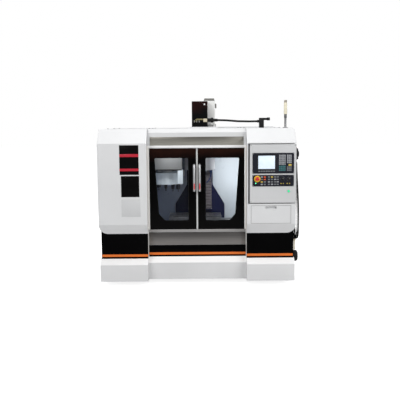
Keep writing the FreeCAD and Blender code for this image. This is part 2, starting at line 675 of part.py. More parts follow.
def column():
    """Flared column: narrow above, wide at the foot, tapering to the back, hollow from behind."""
    half, base = COLUMN_WIDTH / 2, COLUMN_BASE_WIDTH / 2
    front_view = prism_y([(-base, BED_TOP), (base, BED_TOP), (base, COLUMN_FLARE_LOW),
                          (half, COLUMN_FLARE_TOP),
                          (half, COLUMN_TOP), (-half, COLUMN_TOP), (-half, COLUMN_FLARE_TOP),
                          (-base, COLUMN_FLARE_LOW)], back(COLUMN_FACE), back(COLUMN_BACK))
    side_view = prism_x([(back(COLUMN_FACE), BED_TOP), (back(COLUMN_BACK), BED_TOP), (back(COLUMN_BACK), 800),
                         (back(COLUMN_BACK - 70), COLUMN_TOP), (back(COLUMN_FACE), COLUMN_TOP)], -base, base)
    body = front_view.common(side_view)
    body = body.cut(block(-38, 38, back(COLUMN_FACE) - 1, back(COLUMN_FACE + 36), BELLOWS_LOW,
                          COLUMN_TOP + 1))
    body = body.cut(block(-half + 32, half - 32, back(COLUMN_FACE + 90), back(COLUMN_BACK) + 1, 560,
                          COLUMN_TOP - 60))
    shelf = block(-half + 11, half - 11, back(1022), back(COLUMN_FACE), BELLOWS_LOW - 12, BELLOWS_LOW)
    return fused([body, shelf])


def rail(length):
    """Guide rail along X with waisted sides, its foot on z = 0."""
    half, waist = RAIL_WIDTH / 2, RAIL_WIDTH / 2 - 4
    profile = [(-half, 0), (half, 0), (half, 6), (waist, 11), (waist, 16), (half, 20), (half, RAIL_HEIGHT),
               (-half, RAIL_HEIGHT), (-half, 20), (-waist, 16), (-waist, 11), (-half, 6)]
    return prism_x(profile, 0, length)


def guide_rails():
    """Two rails on the bed for the saddle and two on the column for the head."""
    rails = []
    for side in (-1, 1):
        along = rail(700)
        along.rotate(V(0, 0, 0), V(0, 0, 1), 90)
        along.translate(V(side * Y_RAIL_OFFSET, back(BED_FRONT + 30), BED_TOP))
        rails.append(along)
        tall = rail(COLUMN_TOP - 720)
        tall.rotate(V(0, 0, 0), V(0, 1, 0), -90)
        tall.rotate(V(0, 0, 0), V(0, 0, 1), 90)
        tall.translate(V(side * Z_RAIL_OFFSET, back(COLUMN_FACE), 700))
        rails.append(tall)
    return Part.makeCompound(rails)


def screw(start, end, bearing_end):
    """Ball screw: threaded bar with a stepped bearing end."""
    start, end = V(*start), V(*end)
    way = (end - start).normalize()
    journal = end + way * bearing_end
    bar = rod(SCREW_RADIUS, tuple(start), tuple(end))
    return fused([bar, rod(SCREW_RADIUS - 4, tuple(end - way * 5), tuple(journal))])


def y_screw():
    """Ball screw under the saddle."""
    return screw((0, back(1060), Y_SCREW_Z), (0, back(BED_FRONT + 30), Y_SCREW_Z), 28)


def x_screw():
    """Ball screw inside the saddle, under the table."""
    y = SPINDLE_Y
    return screw((-320, y, X_SCREW_Z), (316, y, X_SCREW_Z), 20)


def z_screw():
    """Ball screw in the column's trough with its belt pulley on top."""
    y = back(COLUMN_FACE + SCREW_SINK)
    bore = SCREW_RADIUS - 6
    outline = [(bore, 0), (PULLEY_RADIUS, 0), (PULLEY_RADIUS, PULLEY_WIDTH), (bore, PULLEY_WIDTH), (bore, 0)]
    pulley = lathe(outline, (0, y, COLUMN_TOP + 22), (0, 0, 1), 16)
    return fused([screw((0, y, Z_SCREW_LOW), (0, y, COLUMN_TOP - 30), 84), pulley])


def saddle():
    """Cross slide: cast block with bearing cars below, X rails on top and a trough for the X screw."""
    y0, y1 = SPINDLE_Y - SADDLE_DEPTH / 2, SPINDLE_Y + SADDLE_DEPTH / 2
    half = SADDLE_HALF
    profile = [(-half, SADDLE_TOP), (half, SADDLE_TOP), (half, SADDLE_TOP - 44), (half - 70, SADDLE_LOW),
               (-half + 70, SADDLE_LOW), (-half, SADDLE_TOP - 44)]
    body = prism_y(profile, y0, y1)
    body = body.cut(block(-half - 1, half + 1, SPINDLE_Y - 34, SPINDLE_Y + 34, X_SCREW_Z - 30,
                          SADDLE_TOP + 1))
    pieces = [body]
    for side in (-1, 1):
        way = rail(2 * half - 20)
        way.translate(V(-half + 10, SPINDLE_Y + side * X_RAIL_OFFSET, SADDLE_TOP))
        pieces.append(way)
        for y in (y0 + 45, y1 - 45):
            x = side * Y_RAIL_OFFSET
            car = block(x - 35, x + 35, y - 40, y + 40, BED_TOP + 8, SADDLE_LOW)
            slot = RAIL_WIDTH / 2 + FIT
            pieces.append(car.cut(block(x - slot, x + slot, y - 41, y + 41, BED_TOP,
                                        BED_TOP + RAIL_HEIGHT + FIT)))
    bore = prism_x(flats(SCREW_RADIUS + FIT, 12, (SPINDLE_Y, X_SCREW_Z)), -half - 1, half + 1)
    for x in (-half, half - 25):
        bearing = block(x, x + 25, SPINDLE_Y - 34, SPINDLE_Y + 34, X_SCREW_Z - 30, SADDLE_TOP)
        pieces.append(bearing.cut(bore))
    motor = block(half, half + 105, SPINDLE_Y - 40, SPINDLE_Y + 40, X_SCREW_Z - 42, X_SCREW_Z + 38)
    motor = chamfered(motor, 8, along_x)
    nut = block(-42, 42, SPINDLE_Y - 30, SPINDLE_Y + 30, Y_SCREW_Z - 24, SADDLE_LOW)
    nut_bore = prism_y(flats(SCREW_RADIUS + FIT, 12, (0, Y_SCREW_Z)), y0, y1)
    return fused(pieces + [motor, nut.cut(nut_bore)])


def table():
    """Table with three T-slots, a coolant gutter all round, bearing cars and the X nut below."""
    x0, x1 = TABLE_X - TABLE_LENGTH / 2, TABLE_X + TABLE_LENGTH / 2
    y0, y1 = SPINDLE_Y - TABLE_DEPTH / 2, SPINDLE_Y + TABLE_DEPTH / 2
    low = TABLE_TOP - TABLE_THICK
    plate = chamfered(block(x0, x1, y0, y1, low, TABLE_TOP), 6, upright)
    gutter = block(x0 + 6, x1 - 6, y0 + 6, y1 - 6, TABLE_TOP - 9, TABLE_TOP + 1)
    gutter = gutter.cut(block(x0 + 22, x1 - 22, y0 + 22, y1 - 22, TABLE_TOP - 10, TABLE_TOP + 2))
    plate = plate.cut(gutter)
    for index in (-1, 0, 1):
        y = SPINDLE_Y + index * SLOT_PITCH
        neck = block(x0 - 1, x1 + 1, y - SLOT_WIDTH / 2, y + SLOT_WIDTH / 2, TABLE_TOP - SLOT_DEPTH,
                     TABLE_TOP + 1)
        foot = block(x0 - 1, x1 + 1, y - SLOT_WIDTH, y + SLOT_WIDTH, TABLE_TOP - SLOT_DEPTH,
                     TABLE_TOP - SLOT_DEPTH + SLOT_FOOT)
        plate = plate.cut(neck).cut(foot)
    pieces = [plate]
    slot = RAIL_WIDTH / 2 + FIT
    for x in (TABLE_X - CAR_OFFSET, TABLE_X + CAR_OFFSET):
        for side in (-1, 1):
            y = SPINDLE_Y + side * X_RAIL_OFFSET
            car = block(x - 36, x + 36, y - 34, y + 34, SADDLE_TOP + 8, low)
            pieces.append(car.cut(block(x - 37, x + 37, y - slot, y + slot, SADDLE_TOP,
                                        SADDLE_TOP + RAIL_HEIGHT + FIT)))
    nut = block(-40, 40, SPINDLE_Y - 24, SPINDLE_Y + 24, X_SCREW_Z - 22, low)
    nut = nut.cut(prism_x(flats(SCREW_RADIUS + FIT, 12, (SPINDLE_Y, X_SCREW_Z)), -60, 60))
    return fused(pieces + [nut])


def head():
    """Spindle head casting: round nose block, ribbed flanks, bearing cars and Z nut at the back."""
    half = HEAD_WIDTH / 2
    front, rear = back(HEAD_FRONT), back(HEAD_BACK)
    plan = [(-half, rear), (-half, front + 90), (-half + 70, front), (half - 70, front), (half, front + 90),
            (half, rear)]
    body = prism_z(plan, HEAD_LOW, HEAD_TOP)
    body = chamfered(body, 16, lambda a, b: upright(a, b) and max(a.y, b.y) < rear - 1)
    body = body.cut(prism_z(flats(CARTRIDGE_RADIUS, 24, (0, SPINDLE_Y)), HEAD_LOW - 1, HEAD_TOP + 1))
    for side in (-1, 1):
        outer, inner = sorted((side * (half + 1), side * (half - 14)))
        body = body.cut(block(outer, inner, back(770), back(1000), HEAD_LOW + 40, HEAD_TOP - 50))
    pieces = [body]
    slot = RAIL_WIDTH / 2 + FIT
    face = back(COLUMN_FACE)
    for side in (-1, 1):
        x = side * Z_RAIL_OFFSET
        for z in (HEAD_LOW + 60, HEAD_TOP - 60):
            car = block(x - 34, x + 34, rear, face - 8, z - 40, z + 40)
            pieces.append(car.cut(block(x - slot, x + slot, face - RAIL_HEIGHT - FIT, face, z - 41, z + 41)))
    y = back(COLUMN_FACE + 4)
    nut = block(-32, 32, rear, y + 26, 1200, 1290)
    nut = nut.cut(prism_z(flats(SCREW_RADIUS + FIT, 12, (0, y)), 1190, 1300))
    return fused(pieces + [nut])


def spindle_cartridge():
    """Flanged bearing cartridge with its nose, screwed up into the head, bored for the spindle."""
    low = NOSE_Z + 8
    profile = [(0, low), (NOSE_RADIUS, low), (NOSE_RADIUS, HEAD_LOW - FLANGE_THICK),
               (FLANGE_RADIUS, HEAD_LOW - FLANGE_THICK), (FLANGE_RADIUS, HEAD_LOW),
               (CARTRIDGE_RADIUS, HEAD_LOW),
               (CARTRIDGE_RADIUS, HEAD_TOP - 70), (0, HEAD_TOP - 70)]
    body = lathe(profile, (0, SPINDLE_Y, 0), (0, 0, 1), 24)
    return body.cut(rod(SHAFT_RADIUS + SHAFT_FIT, (0, SPINDLE_Y, NOSE_Z), (0, SPINDLE_Y, HEAD_TOP)))


def spindle_shaft():
    """Hollow spindle with a 7:24 tapered mouth, two drive keys and the belt pulley on top."""
    top, y = HEAD_TOP + 8, SPINDLE_Y
    small = TAPER_RADIUS - TAPER_DEPTH * 7 / 48
    shaft = rod(SHAFT_RADIUS, (0, y, NOSE_Z + 6), (0, y, top + PULLEY_WIDTH))
    nose = prism_z(flats(SHAFT_RADIUS + 4.5, 20, (0, y)), NOSE_Z, NOSE_Z + 7)
    pulley = prism_z(flats(SPINDLE_PULLEY - 1, 16, (0, y)), top, top + PULLEY_WIDTH)
    keys = [block(side * KEY_OFFSET - 7, side * KEY_OFFSET + 7, y - KEY_WIDTH / 2, y + KEY_WIDTH / 2,
                  NOSE_Z - KEY_DROP, NOSE_Z + 3) for side in (-1, 1)]
    shaft = fused([shaft, nose, pulley] + keys)
    outline = [(0, -1), (TAPER_RADIUS + 0.2, -1), (TAPER_RADIUS, 0), (small, TAPER_DEPTH), (0, TAPER_DEPTH)]
    mouth = lathe(outline, (0, y, NOSE_Z), (0, 0, 1), 24)
    drawbar = prism_z(flats(DRAWBAR_RADIUS, 8, (0, y)), NOSE_Z + TAPER_DEPTH - 1, top + PULLEY_WIDTH + 1)
    return shaft.cut(mouth).cut(drawbar)


def spindle_motor():
    """Upright finned motor on the back of the head, with the belt guard that runs to the spindle pulley."""
    half = MOTOR_SIZE / 2
    y0, y1 = back(HEAD_BACK - 68 - MOTOR_SIZE), back(HEAD_BACK - 68)
    body = chamfered(block(-half, half, y0, y1, HEAD_TOP, TOP_Z - 25), 12, upright)
    for index in range(4):
        z = HEAD_TOP + 74 + index * 12
        body = body.cut(block(-half - 1, -half + 6, y0 - 1, y1 + 1, z, z + 6))
        body = body.cut(block(half - 6, half + 1, y0 - 1, y1 + 1, z, z + 6))
    low, high = HEAD_TOP, HEAD_TOP + 60
    reach = SPINDLE_PULLEY + 16
    guard = chamfered(block(-reach, reach, SPINDLE_Y - reach - 2, y0 + 5, low, high), 10, upright)
    inner = block(-reach + 8, reach - 8, SPINDLE_Y - reach + 6, y0 - 4, low - 1, high - 5)
    return fused([body, guard.cut(inner)])


def coolant_hose():
    """Jointed coolant hose of tapered links from the valve block under the head to its nozzle."""
    x, y = HOSE_X, back(HOSE_SETBACK)
    low = HEAD_LOW - 24
    route = [(x, y, low), (x, y, low - 28), (x - 6, y + 6, low - 58), (x - 18, y + 14, low - 84),
             (x - 34, y + 22, low - 104), (x - 48, y + 28, low - 118)]
    pieces = [chamfered(block(x - 15, x + 15, y - 14, y + 14, low, HEAD_LOW), 4, upright)]
    for start, end in zip(route, route[1:]):
        way = V(*end) - V(*start)
        slim = 0.5 if end == route[-1] else 0.75
        link = [(0, 0), (HOSE_RADIUS, 0), (HOSE_RADIUS * slim, way.Length + 2), (0, way.Length + 2)]
        pieces.append(lathe(link, start, tuple(way.normalize()), 8))
    return fused(pieces)


def z_bellows():
    """Folded way bellows under the head, in front of the column's rails."""
    half = COLUMN_WIDTH / 2 - 11
    low, top = BELLOWS_LOW, HEAD_LOW - 0.5
    pitch = (top - low) / BELLOWS_FOLDS
    rear = back(COLUMN_FACE - RAIL_HEIGHT - 8)
    deep, shallow = rear - BELLOWS_DEEP, rear - BELLOWS_SHALLOW
    outline = [(rear, low), (shallow, low)]
    for index in range(BELLOWS_FOLDS):
        outline.append((deep, low + (index + 0.5) * pitch))
        outline.append((shallow, low + (index + 1) * pitch))
    outline.append((rear, top))
    return prism_x(outline, -half, half)


def z_drive_cover():
    """Black sheet cover over the Z belt drive, open below and at the back, on the column top."""
    front, rear = back(COVER_FRONT), back(COVER_FRONT + COVER_DEPTH)
    cover = block(COVER_LEFT, COVER_RIGHT, front, rear, COLUMN_TOP, DRIVE_TOP)
    cover = rounded(cover, 5, lambda a, b: abs(a.y - front) < 1e-6 and abs(b.y - front) < 1e-6)
    cover = cover.cut(block(COVER_LEFT + SHEET, COVER_RIGHT - SHEET, front + SHEET, rear + 1, COLUMN_TOP - 1,
                            DRIVE_TOP - SHEET))
    belt_hole = block(COVER_LEFT + 24, COVER_RIGHT - 22, front - 1, front + SHEET + 1, COLUMN_TOP - 1,
                      TOP_Z - 20)
    return cover.cut(belt_hole)


def z_motor():
    """Upright servo motor on a bracket beside the Z screw, with its grey end cap."""
    x, y = Z_MOTOR_X, back(Z_MOTOR_SETBACK)
    half = Z_MOTOR_SIZE / 2
    low = COLUMN_TOP + Z_MOTOR_STAND
    body = chamfered(block(x - half, x + half, y - half, y + half, low, Z_MOTOR_TOP), 12, upright)
    inner = half - 7
    cap = block(x - inner, x + inner, y - inner, y + inner, Z_MOTOR_TOP, Z_MOTOR_TOP + 24)
    cap = chamfered(cap, 9, upright)
    neck = prism_z(flats(half - 15, 16, (x, y)), low - 30, low)
    bracket = block(COVER_LEFT + 24, x + half + 10, back(COVER_FRONT + COVER_DEPTH + 2), y + half + 10,
                    COLUMN_TOP, COLUMN_TOP + 18)
    legs = [block(x - half - 10, x - half + 3, y - half - 3, y + half + 3, COLUMN_TOP + 18, low),
            block(x + half - 3, x + half + 10, y - half - 3, y + half + 3, COLUMN_TOP + 18, low)]
    plate = block(x - half - 10, x + half + 10, y - half - 10, y + half + 10, low - 12, low + 4)
    return fused([body, cap, neck, bracket, plate] + legs)


# ---------------------------------------------------------------- tool changer
def changer_beam():
    """Beam on the back wall that carries the changer, with a guide strip in front."""
    x0, x1 = WALL_LEFT + SHEET, DISC_X + POCKET_CIRCLE + 40
    beam = block(x0, x1, back(BEAM_SETBACK), back(BEAM_SETBACK + 50), BEAM_Z - 32, BEAM_Z + 33)
    strip = block(x0 + 10, x1, back(BEAM_SETBACK - 14), back(BEAM_SETBACK), BEAM_Z - 7, BEAM_Z + 13)
    wall = back(COLUMN_FACE - 9)
    bracket = block(x0, x0 + 60, back(BEAM_SETBACK + 50), wall, BEAM_Z - 22, BEAM_Z + 23)
    stay = block(x1 - 60, x1, back(BEAM_SETBACK + 50), wall, BEAM_Z - 22, BEAM_Z + 23)
    return fused([beam, strip, bracket, stay])


def changer_carriage():
    """Slide block, arm over the drum, index motor above it and the journal that the disc turns on."""
    x, y = DISC_X, SPINDLE_Y
    left, right = x - 90, x - 20
    slide_back, slide_front = back(BEAM_SETBACK - 4), back(BEAM_SETBACK - 52)
    runner = block(left, right, slide_front, slide_back, BEAM_Z - 27, BEAM_Z + 32)
    groove = block(left - 1, right + 1, back(BEAM_SETBACK - 14) - FIT, slide_back + 1, BEAM_Z - 7 - FIT,
                   BEAM_Z + 13 + FIT)
    top = COVER_TOP + ARM_THICK
    arm = block(left, right, y - 40, slide_back, COVER_TOP, top)
    web = block(left, right, slide_front, slide_front + 22, BEAM_Z + 20, COVER_TOP + 1)
    plate = prism_z(flats(62, 16, (x, y)), COVER_TOP, top)
    motor = chamfered(block(left + 2, right - 4, y + 20, y + 90, top, top + 84), 9, upright)
    journal = rod(HUB_BORE - SHAFT_FIT, (x, y, DISC_Z - HUB_DROP - 12), (x, y, COVER_TOP + 1))
    collar = prism_z(flats(HUB_BORE + 6, 8, (x, y)), DISC_Z + HUB_RISE + 2, COVER_TOP + 1)
    nut = prism_z(flats(HUB_BORE + 5, 6, (x, y)), DISC_Z - HUB_DROP - 12, DISC_Z - HUB_DROP - 1)
    return fused([runner.cut(groove), arm, web, plate, motor, journal, collar, nut])


def changer_cover():
    """Drum cover, open below and towards the spindle, notched on top for the spindle nose."""
    x, y = DISC_X, SPINDLE_Y
    low, middle = DISC_Z - 4, x + POCKET_CIRCLE
    drum = prism_z(flats(COVER_RADIUS, 30, (x, y)), low, COVER_TOP)
    drum = drum.cut(prism_z(flats(COVER_RADIUS - COVER_SHEET, 30, (x, y)), low - 1, COVER_TOP - COVER_SHEET))
    reach = COVER_RADIUS * 2
    rise = reach * math.tan(math.radians(COVER_OPENING))
    wedge = prism_z([(x, y), (x + reach, y - rise), (x + reach, y + rise)], low - 1, COVER_TOP - COVER_SHEET)
    room = FLANGE_RADIUS + 10
    notch = fused([prism_z(flats(room, 12, (middle, y)), COVER_TOP - 5, COVER_TOP + 1),
                   block(middle, x + reach, y - room, y + room, COVER_TOP - 5, COVER_TOP + 1)])
    hole = prism_z(flats(HUB_BORE + 8, 12, (x, y)), COVER_TOP - 5, COVER_TOP + 1)
    return drum.cut(wedge).cut(notch).cut(hole)


def tool_disc():
    """Disc with twelve fork pockets, open outwards, and a hub on the carriage's journal."""
    x, y = DISC_X, SPINDLE_Y
    low, top = DISC_Z - 1, DISC_Z + DISC_THICK + 1
    disc = prism_z(flats(POCKET_CIRCLE + 14, 36, (x, y)), DISC_Z, DISC_Z + DISC_THICK)
    pocket = prism_z(flats(GROOVE_RADIUS + FIT, 8, (x + POCKET_CIRCLE, y)), low, top)
    mouth = GROOVE_RADIUS - 2
    pocket = pocket.fuse(block(x + POCKET_CIRCLE, x + POCKET_CIRCLE + 40, y - mouth, y + mouth, low, top))
    for index in range(POCKETS):
        slot = pocket.copy()
        slot.rotate(V(x, y, 0), V(0, 0, 1), index * 360 / POCKETS)
        disc = disc.cut(slot)
    hub = prism_z(flats(HUB_RADIUS, 16, (x, y)), DISC_Z - HUB_DROP, DISC_Z + HUB_RISE)
    bore = rod(HUB_BORE, (x, y, DISC_Z - HUB_DROP - 1), (x, y, DISC_Z + HUB_RISE + 1))
    return fused([disc, hub]).cut(bore)


def tool_holder(body, nose):
    """Tapered holder on the Z axis: pull stud, 7:24 taper, grooved flange with key slots, chuck and tool."""
    wide = TAPER_RADIUS - FIT
    small = wide - TAPER_DEPTH * 7 / 48
    gauge = NOSE_Z
    groove_top, groove_low = DISC_Z + DISC_THICK + FIT, DISC_Z - FIT
    profile = [(0, gauge + 64), (6, gauge + 64), (small, gauge + TAPER_DEPTH), (wide, gauge - 2),
               (HOLDER_FLANGE, gauge - 2), (HOLDER_FLANGE, groove_top), (GROOVE_RADIUS, groove_top),
               (GROOVE_RADIUS, groove_low), (HOLDER_FLANGE, groove_low), (HOLDER_FLANGE, gauge - 32),
               (body, nose), (5, nose), (5, nose - 26), (0, nose - 26)]
    holder = lathe(profile, (0, 0, 0), (0, 0, 1), 8)
    key_low = gauge - KEY_DROP - 1.5
    for side in (-1, 1):
        inner, outer = side * (KEY_OFFSET - 7 - FIT), side * (HOLDER_FLANGE + 2)
        x0, x1 = sorted((inner, outer))
        holder = holder.cut(block(x0, x1, -KEY_WIDTH / 2 - FIT, KEY_WIDTH / 2 + FIT, key_low, gauge))
    return holder


def tool_holders():
    """Holders in the outer pockets, key slots in line with the disc; the spindle's pocket is empty."""
    holders = []
    for index in range(FIRST_TOOL, POCKETS):
        turn = index * 360 / POCKETS
        holder = tool_holder(15 + 3 * (index % 3), NOSE_Z - 62 - 8 * (index % 4))
        holder.rotate(V(0, 0, 0), V(0, 0, 1), turn)
        angle = math.radians(turn)
        x, y = POCKET_CIRCLE * math.cos(angle), POCKET_CIRCLE * math.sin(angle)
        holder.translate(V(DISC_X + x, SPINDLE_Y + y, 0))
        holders.append(holder)
    return Part.makeCompound(holders)


# ---------------------------------------------------------------- doors
def window_outline(side, grow, y):
    """Window outline as a wire: side -1 left, +1 right, grown by grow, with a cut lower outer corner."""
    inner, top, low = WINDOW_INNER - grow, WINDOW_TOP + grow, WINDOW_LOW - grow
    outer_top, outer_low = WINDOW_OUTER_TOP + grow, WINDOW_OUTER_LOW + grow
    cut_z = WINDOW_LOW + WINDOW_CORNER + 4
    points = [(inner, low), (outer_low - WINDOW_CORNER + 4, low), (outer_low, cut_z), (outer_top, top),
              (inner, top)]
    return [V(SEAM_X + side * x, y, z) for x, z in points]


def window_prism(side, grow, y0, y1, radius=0):
    """Solid through the window, with its corners rounded if a radius is given."""
    body = face_of(window_outline(side, grow, y0)).extrude(V(0, y1 - y0, 0))
    return rounded(body, radius, along_y) if radius else body


def door_leaf(side):
    """Folded door leaf with a rebated window opening."""
    inner, outer = SEAM_X + side * SEAL_WIDTH / 2, SEAM_X + side * DOOR_WIDTH
    x0, x1 = sorted((inner, outer))
    front, rear = back(DOOR_SETBACK), back(DOOR_SETBACK + DOOR_THICK)
    leaf = block(x0, x1, front, rear, SILL_TOP - 8, DOOR_TOP)
    leaf = rounded(leaf, 4, lambda a, b: upright(a, b) and max(a.y, b.y) < rear - 1)
    leaf = leaf.cut(window_prism(side, 0, front - 1, rear + 1, WINDOW_RADIUS))
    leaf = leaf.cut(window_prism(side, REBATE, front + 8, rear + 1))
    channel = back(DOOR_SETBACK + DOOR_THICK / 2)
    leaf = leaf.cut(block(x0 - 1, x1 + 1, channel - 4 - FIT, channel + 4 + FIT, SILL_TOP - 9, SILL_TOP))
    hangers = []
    for x in (inner + side * 70, outer - side * 70):
        plate = block(x - 35, x + 35, rear - 5, rear, DOOR_TOP - 20, DOOR_TOP + 34)
        car = block(x - 35, x + 35, channel + 6 + FIT, rear, DOOR_TOP + 4, DOOR_TOP + 34)
        hangers += [plate, car]
    return fused([leaf] + hangers)


def door_pane(side):
    """Laminated pane in the rebate."""
    front = back(DOOR_SETBACK + 8)
    return window_prism(side, REBATE - FIT, front, front + GLASS)


def door_handle(side):
    """Bridge handle: a bar bent at both ends onto the door, its long edges taken off."""
    x = SEAM_X + side * HANDLE_OFFSET
    face = back(DOOR_SETBACK)
    wide = 2 * HANDLE_RADIUS
    low, top = HANDLE_TOP - HANDLE_LENGTH, HANDLE_TOP

    def outline(reach, inset, bend):
        points = [(face, low + inset)]
        for end, way in ((low + inset, 1), (top - inset, -1)):
            corner = [(face - reach + bend * (1 - math.sin(a)), end + way * bend * (1 - math.cos(a)))
                      for a in (math.radians(step) for step in (0, 30, 60, 90))]
            points += corner[::way]
        return points + [(face, top - inset)]
    outside = outline(HANDLE_REACH + HANDLE_RADIUS, 0, HANDLE_BEND + wide)
    inside = outline(HANDLE_REACH - HANDLE_RADIUS, wide, HANDLE_BEND)
    bar = prism_x(outside, x - HANDLE_RADIUS, x + HANDLE_RADIUS)
    gap = prism_x(inside, x - HANDLE_RADIUS - 1, x + HANDLE_RADIUS + 1)

    def lengthwise(a, b):
        return abs(a.x - b.x) < 1e-6 and min(a.y, b.y) < face - 1e-6
    return chamfered(bar.cut(gap), 0.42 * HANDLE_RADIUS, lengthwise)


def door_seal():
    """Hollow rubber seal on the right door's closing edge."""
    half = SEAL_WIDTH / 2
    front, rear = back(DOOR_SETBACK + 2), back(DOOR_SETBACK + DOOR_THICK - 4)
    seal = block(SEAM_X - half + FIT, SEAM_X + half, front, rear, SILL_TOP + 1, DOOR_TOP - 2)
    seal = rounded(seal, 6, lambda a, b: upright(a, b) and a.x < SEAM_X)
    return seal.cut(block(SEAM_X - 4, SEAM_X + 4, front + 6, rear - 6, SILL_TOP - 7, DOOR_TOP))


# ---------------------------------------------------------------- pendant and drawer
def pendant_box():
    """Pendant housing with openings for its two panels and the middle knuckles of its hinges."""
    box = block(PENDANT_LEFT, RIGHT_X, FRONT_Y, back(PENDANT_DEPTH), PENDANT_LOW, PENDANT_TOP)
    box = chamfered(box, SHEET * 5 / 3, lambda a, b: abs(a.y - FRONT_Y) < 1e-6 and abs(b.y - FRONT_Y) < 1e-6)
    core = block(PENDANT_LEFT + SHEET, RIGHT_X - SHEET, FRONT_Y + SHEET, back(PENDANT_DEPTH - SHEET),
                 PENDANT_LOW + SHEET, PENDANT_TOP - SHEET)
    box = box.cut(core)
    box = box.cut(block(UNIT_LEFT + 12, UNIT_LEFT + UNIT_WIDTH - 12, FRONT_Y - 1, FRONT_Y + 4,
                        UNIT_LOW + 12, UNIT_LOW + UNIT_HEIGHT - 12))
    box = box.cut(block(UNIT_LEFT + 12, UNIT_LEFT + UNIT_WIDTH - 12, FRONT_Y - 1, FRONT_Y + 4,
                        PANEL_LOW + 12, PANEL_LOW + PANEL_HEIGHT - 12))
    box = box.cut(rod(START_STEM + FIT, (START_X, FRONT_Y - 1, START_Z), (START_X, FRONT_Y + 4, START_Z)))
    knuckles = []
    for z in HINGE_Z:
        leaf = block(RIGHT_X, RIGHT_X + 3, back(PENDANT_DEPTH - 40), HINGE_Y, z - 19, z + 19)
        knuckles.append(hinge_half(leaf, HINGE_X, HINGE_Y, z - 19, z + 19))
    return fused([box] + knuckles)


def pendant_hinges():
    """Fixed halves of the pendant's two hinges: leaf, end knuckles and pin."""
    hinges = []
    for z in HINGE_Z:
        leaf = block(RIGHT_X, RIGHT_X + 3, HINGE_Y + 8, HINGE_Y + 48, z - 40, z + 40)
        pieces = [leaf, rod(HINGE_PIN, (HINGE_X, HINGE_Y, z - 40), (HINGE_X, HINGE_Y, z + 40))]
        for low in (z - 40, z + 19.5):
            web = block(RIGHT_X, RIGHT_X + 3, HINGE_Y, HINGE_Y + 10, low, low + 20.5)
            barrel = prism_z(flats(HINGE_KNUCKLE, 8, (HINGE_X, HINGE_Y)), low, low + 20.5)
            pieces += [barrel, web]
        hinges.append(fused(pieces))
    return hinges


def control_unit():
    """Display and key unit: bezel with a sunk screen, a row of soft keys and two key fields."""
    x0, x1 = UNIT_LEFT, UNIT_LEFT + UNIT_WIDTH
    z0, z1 = UNIT_LOW, UNIT_LOW + UNIT_HEIGHT
    bezel = rounded(block(x0, x1, FRONT_Y - 6, FRONT_Y, z0, z1), 2.5, lambda a, b: a.y < FRONT_Y - 5
                    and b.y < FRONT_Y - 5)
    tub = block(x0 + 13, x1 - 13, FRONT_Y - 1, FRONT_Y + 60, z0 + 13, z1 - 13)
    screen = block(x0 + 53, x0 + 221, FRONT_Y - 7, FRONT_Y - 3, z0 + 42, z0 + 176)
    fields = [block(x0 + 53, x0 + 221, FRONT_Y - 7, FRONT_Y - 5, z0 + 14, z0 + 30),
              block(x0 + 255, x0 + 323, FRONT_Y - 7, FRONT_Y - 5, z0 + 22, z1 - 16),
              block(x0 + 333, x0 + 381, FRONT_Y - 7, FRONT_Y - 5, z0 + 22, z1 - 16)]
    unit = fused([bezel, tub]).cut(screen)
    for field in fields:
        unit = unit.cut(field)
    return unit


def operator_panel():
    """Operator panel with seats for the emergency stop and the two override knobs."""
    x0, x1 = UNIT_LEFT, UNIT_LEFT + UNIT_WIDTH
    z0, z1 = PANEL_LOW, PANEL_LOW + PANEL_HEIGHT
    panel = chamfered(block(x0, x1, FRONT_Y - 4, FRONT_Y, z0, z1), 1.5, lambda a, b: a.y < FRONT_Y - 3
                      and b.y < FRONT_Y - 3)
    tub = block(x0 + 13, x1 - 13, FRONT_Y - 1, FRONT_Y + 35, z0 + 13, z1 - 13)
    guard = lathe([(STOP_STEM + 5, 0), (30.5, 0), (30.5, 6.5), (STOP_STEM + 5, 6.5), (STOP_STEM + 5, 0)],
                  (STOP_X, FRONT_Y - 3.5, STOP_Z), (0, -1, 0), 12)
    panel = fused([panel, tub, guard])
    panel = panel.cut(rod(STOP_STEM + FIT, (STOP_X, FRONT_Y - 5, STOP_Z), (STOP_X, FRONT_Y + 31, STOP_Z)))
    for x in KNOB_X:
        panel = panel.cut(rod(KNOB_SHAFT + SHAFT_FIT, (x, FRONT_Y - 5, STOP_Z), (x, FRONT_Y + 22, STOP_Z)))
    return panel


def push_part(x, z, profile):
    """Turned button whose axis runs along Y; profile is (radius, distance out of the panel)."""
    outline = face_of([V(x + r, FRONT_Y - out, z) for r, out in profile])
    return outline.revolve(V(x, 0, z), V(0, 1, 0), 360)


def estop_button():
    """Mushroom head on its stem."""
    profile = [(0, 34), (14, 33), (19, 29), (20, 24), (18, 20), (STOP_STEM, 19), (STOP_STEM, -26), (0, -26)]
    return lathe(profile, (STOP_X, FRONT_Y, STOP_Z), (0, -1, 0), 16)


def start_button():
    """Green start button."""
    profile = [(0, 9), (9, 9), (11, 7), (11, 5.5), (START_STEM, 5.5), (START_STEM, -20), (0, -20)]
    return lathe(profile, (START_X, FRONT_Y, START_Z), (0, -1, 0), 16)


def override_knob(x):
    """Fluted rotary knob on its round shaft."""
    knob = lathe([(0, 5), (14, 5), (14, 20), (12, 23), (0, 23)], (x, FRONT_Y, STOP_Z), (0, -1, 0), 16, 0.1)
    shaft = lathe([(0, -6), (KNOB_SHAFT, -6), (KNOB_SHAFT, 18), (0, 18)], (x, FRONT_Y, STOP_Z), (0, 1, 0), 8)
    return fused([knob, shaft])


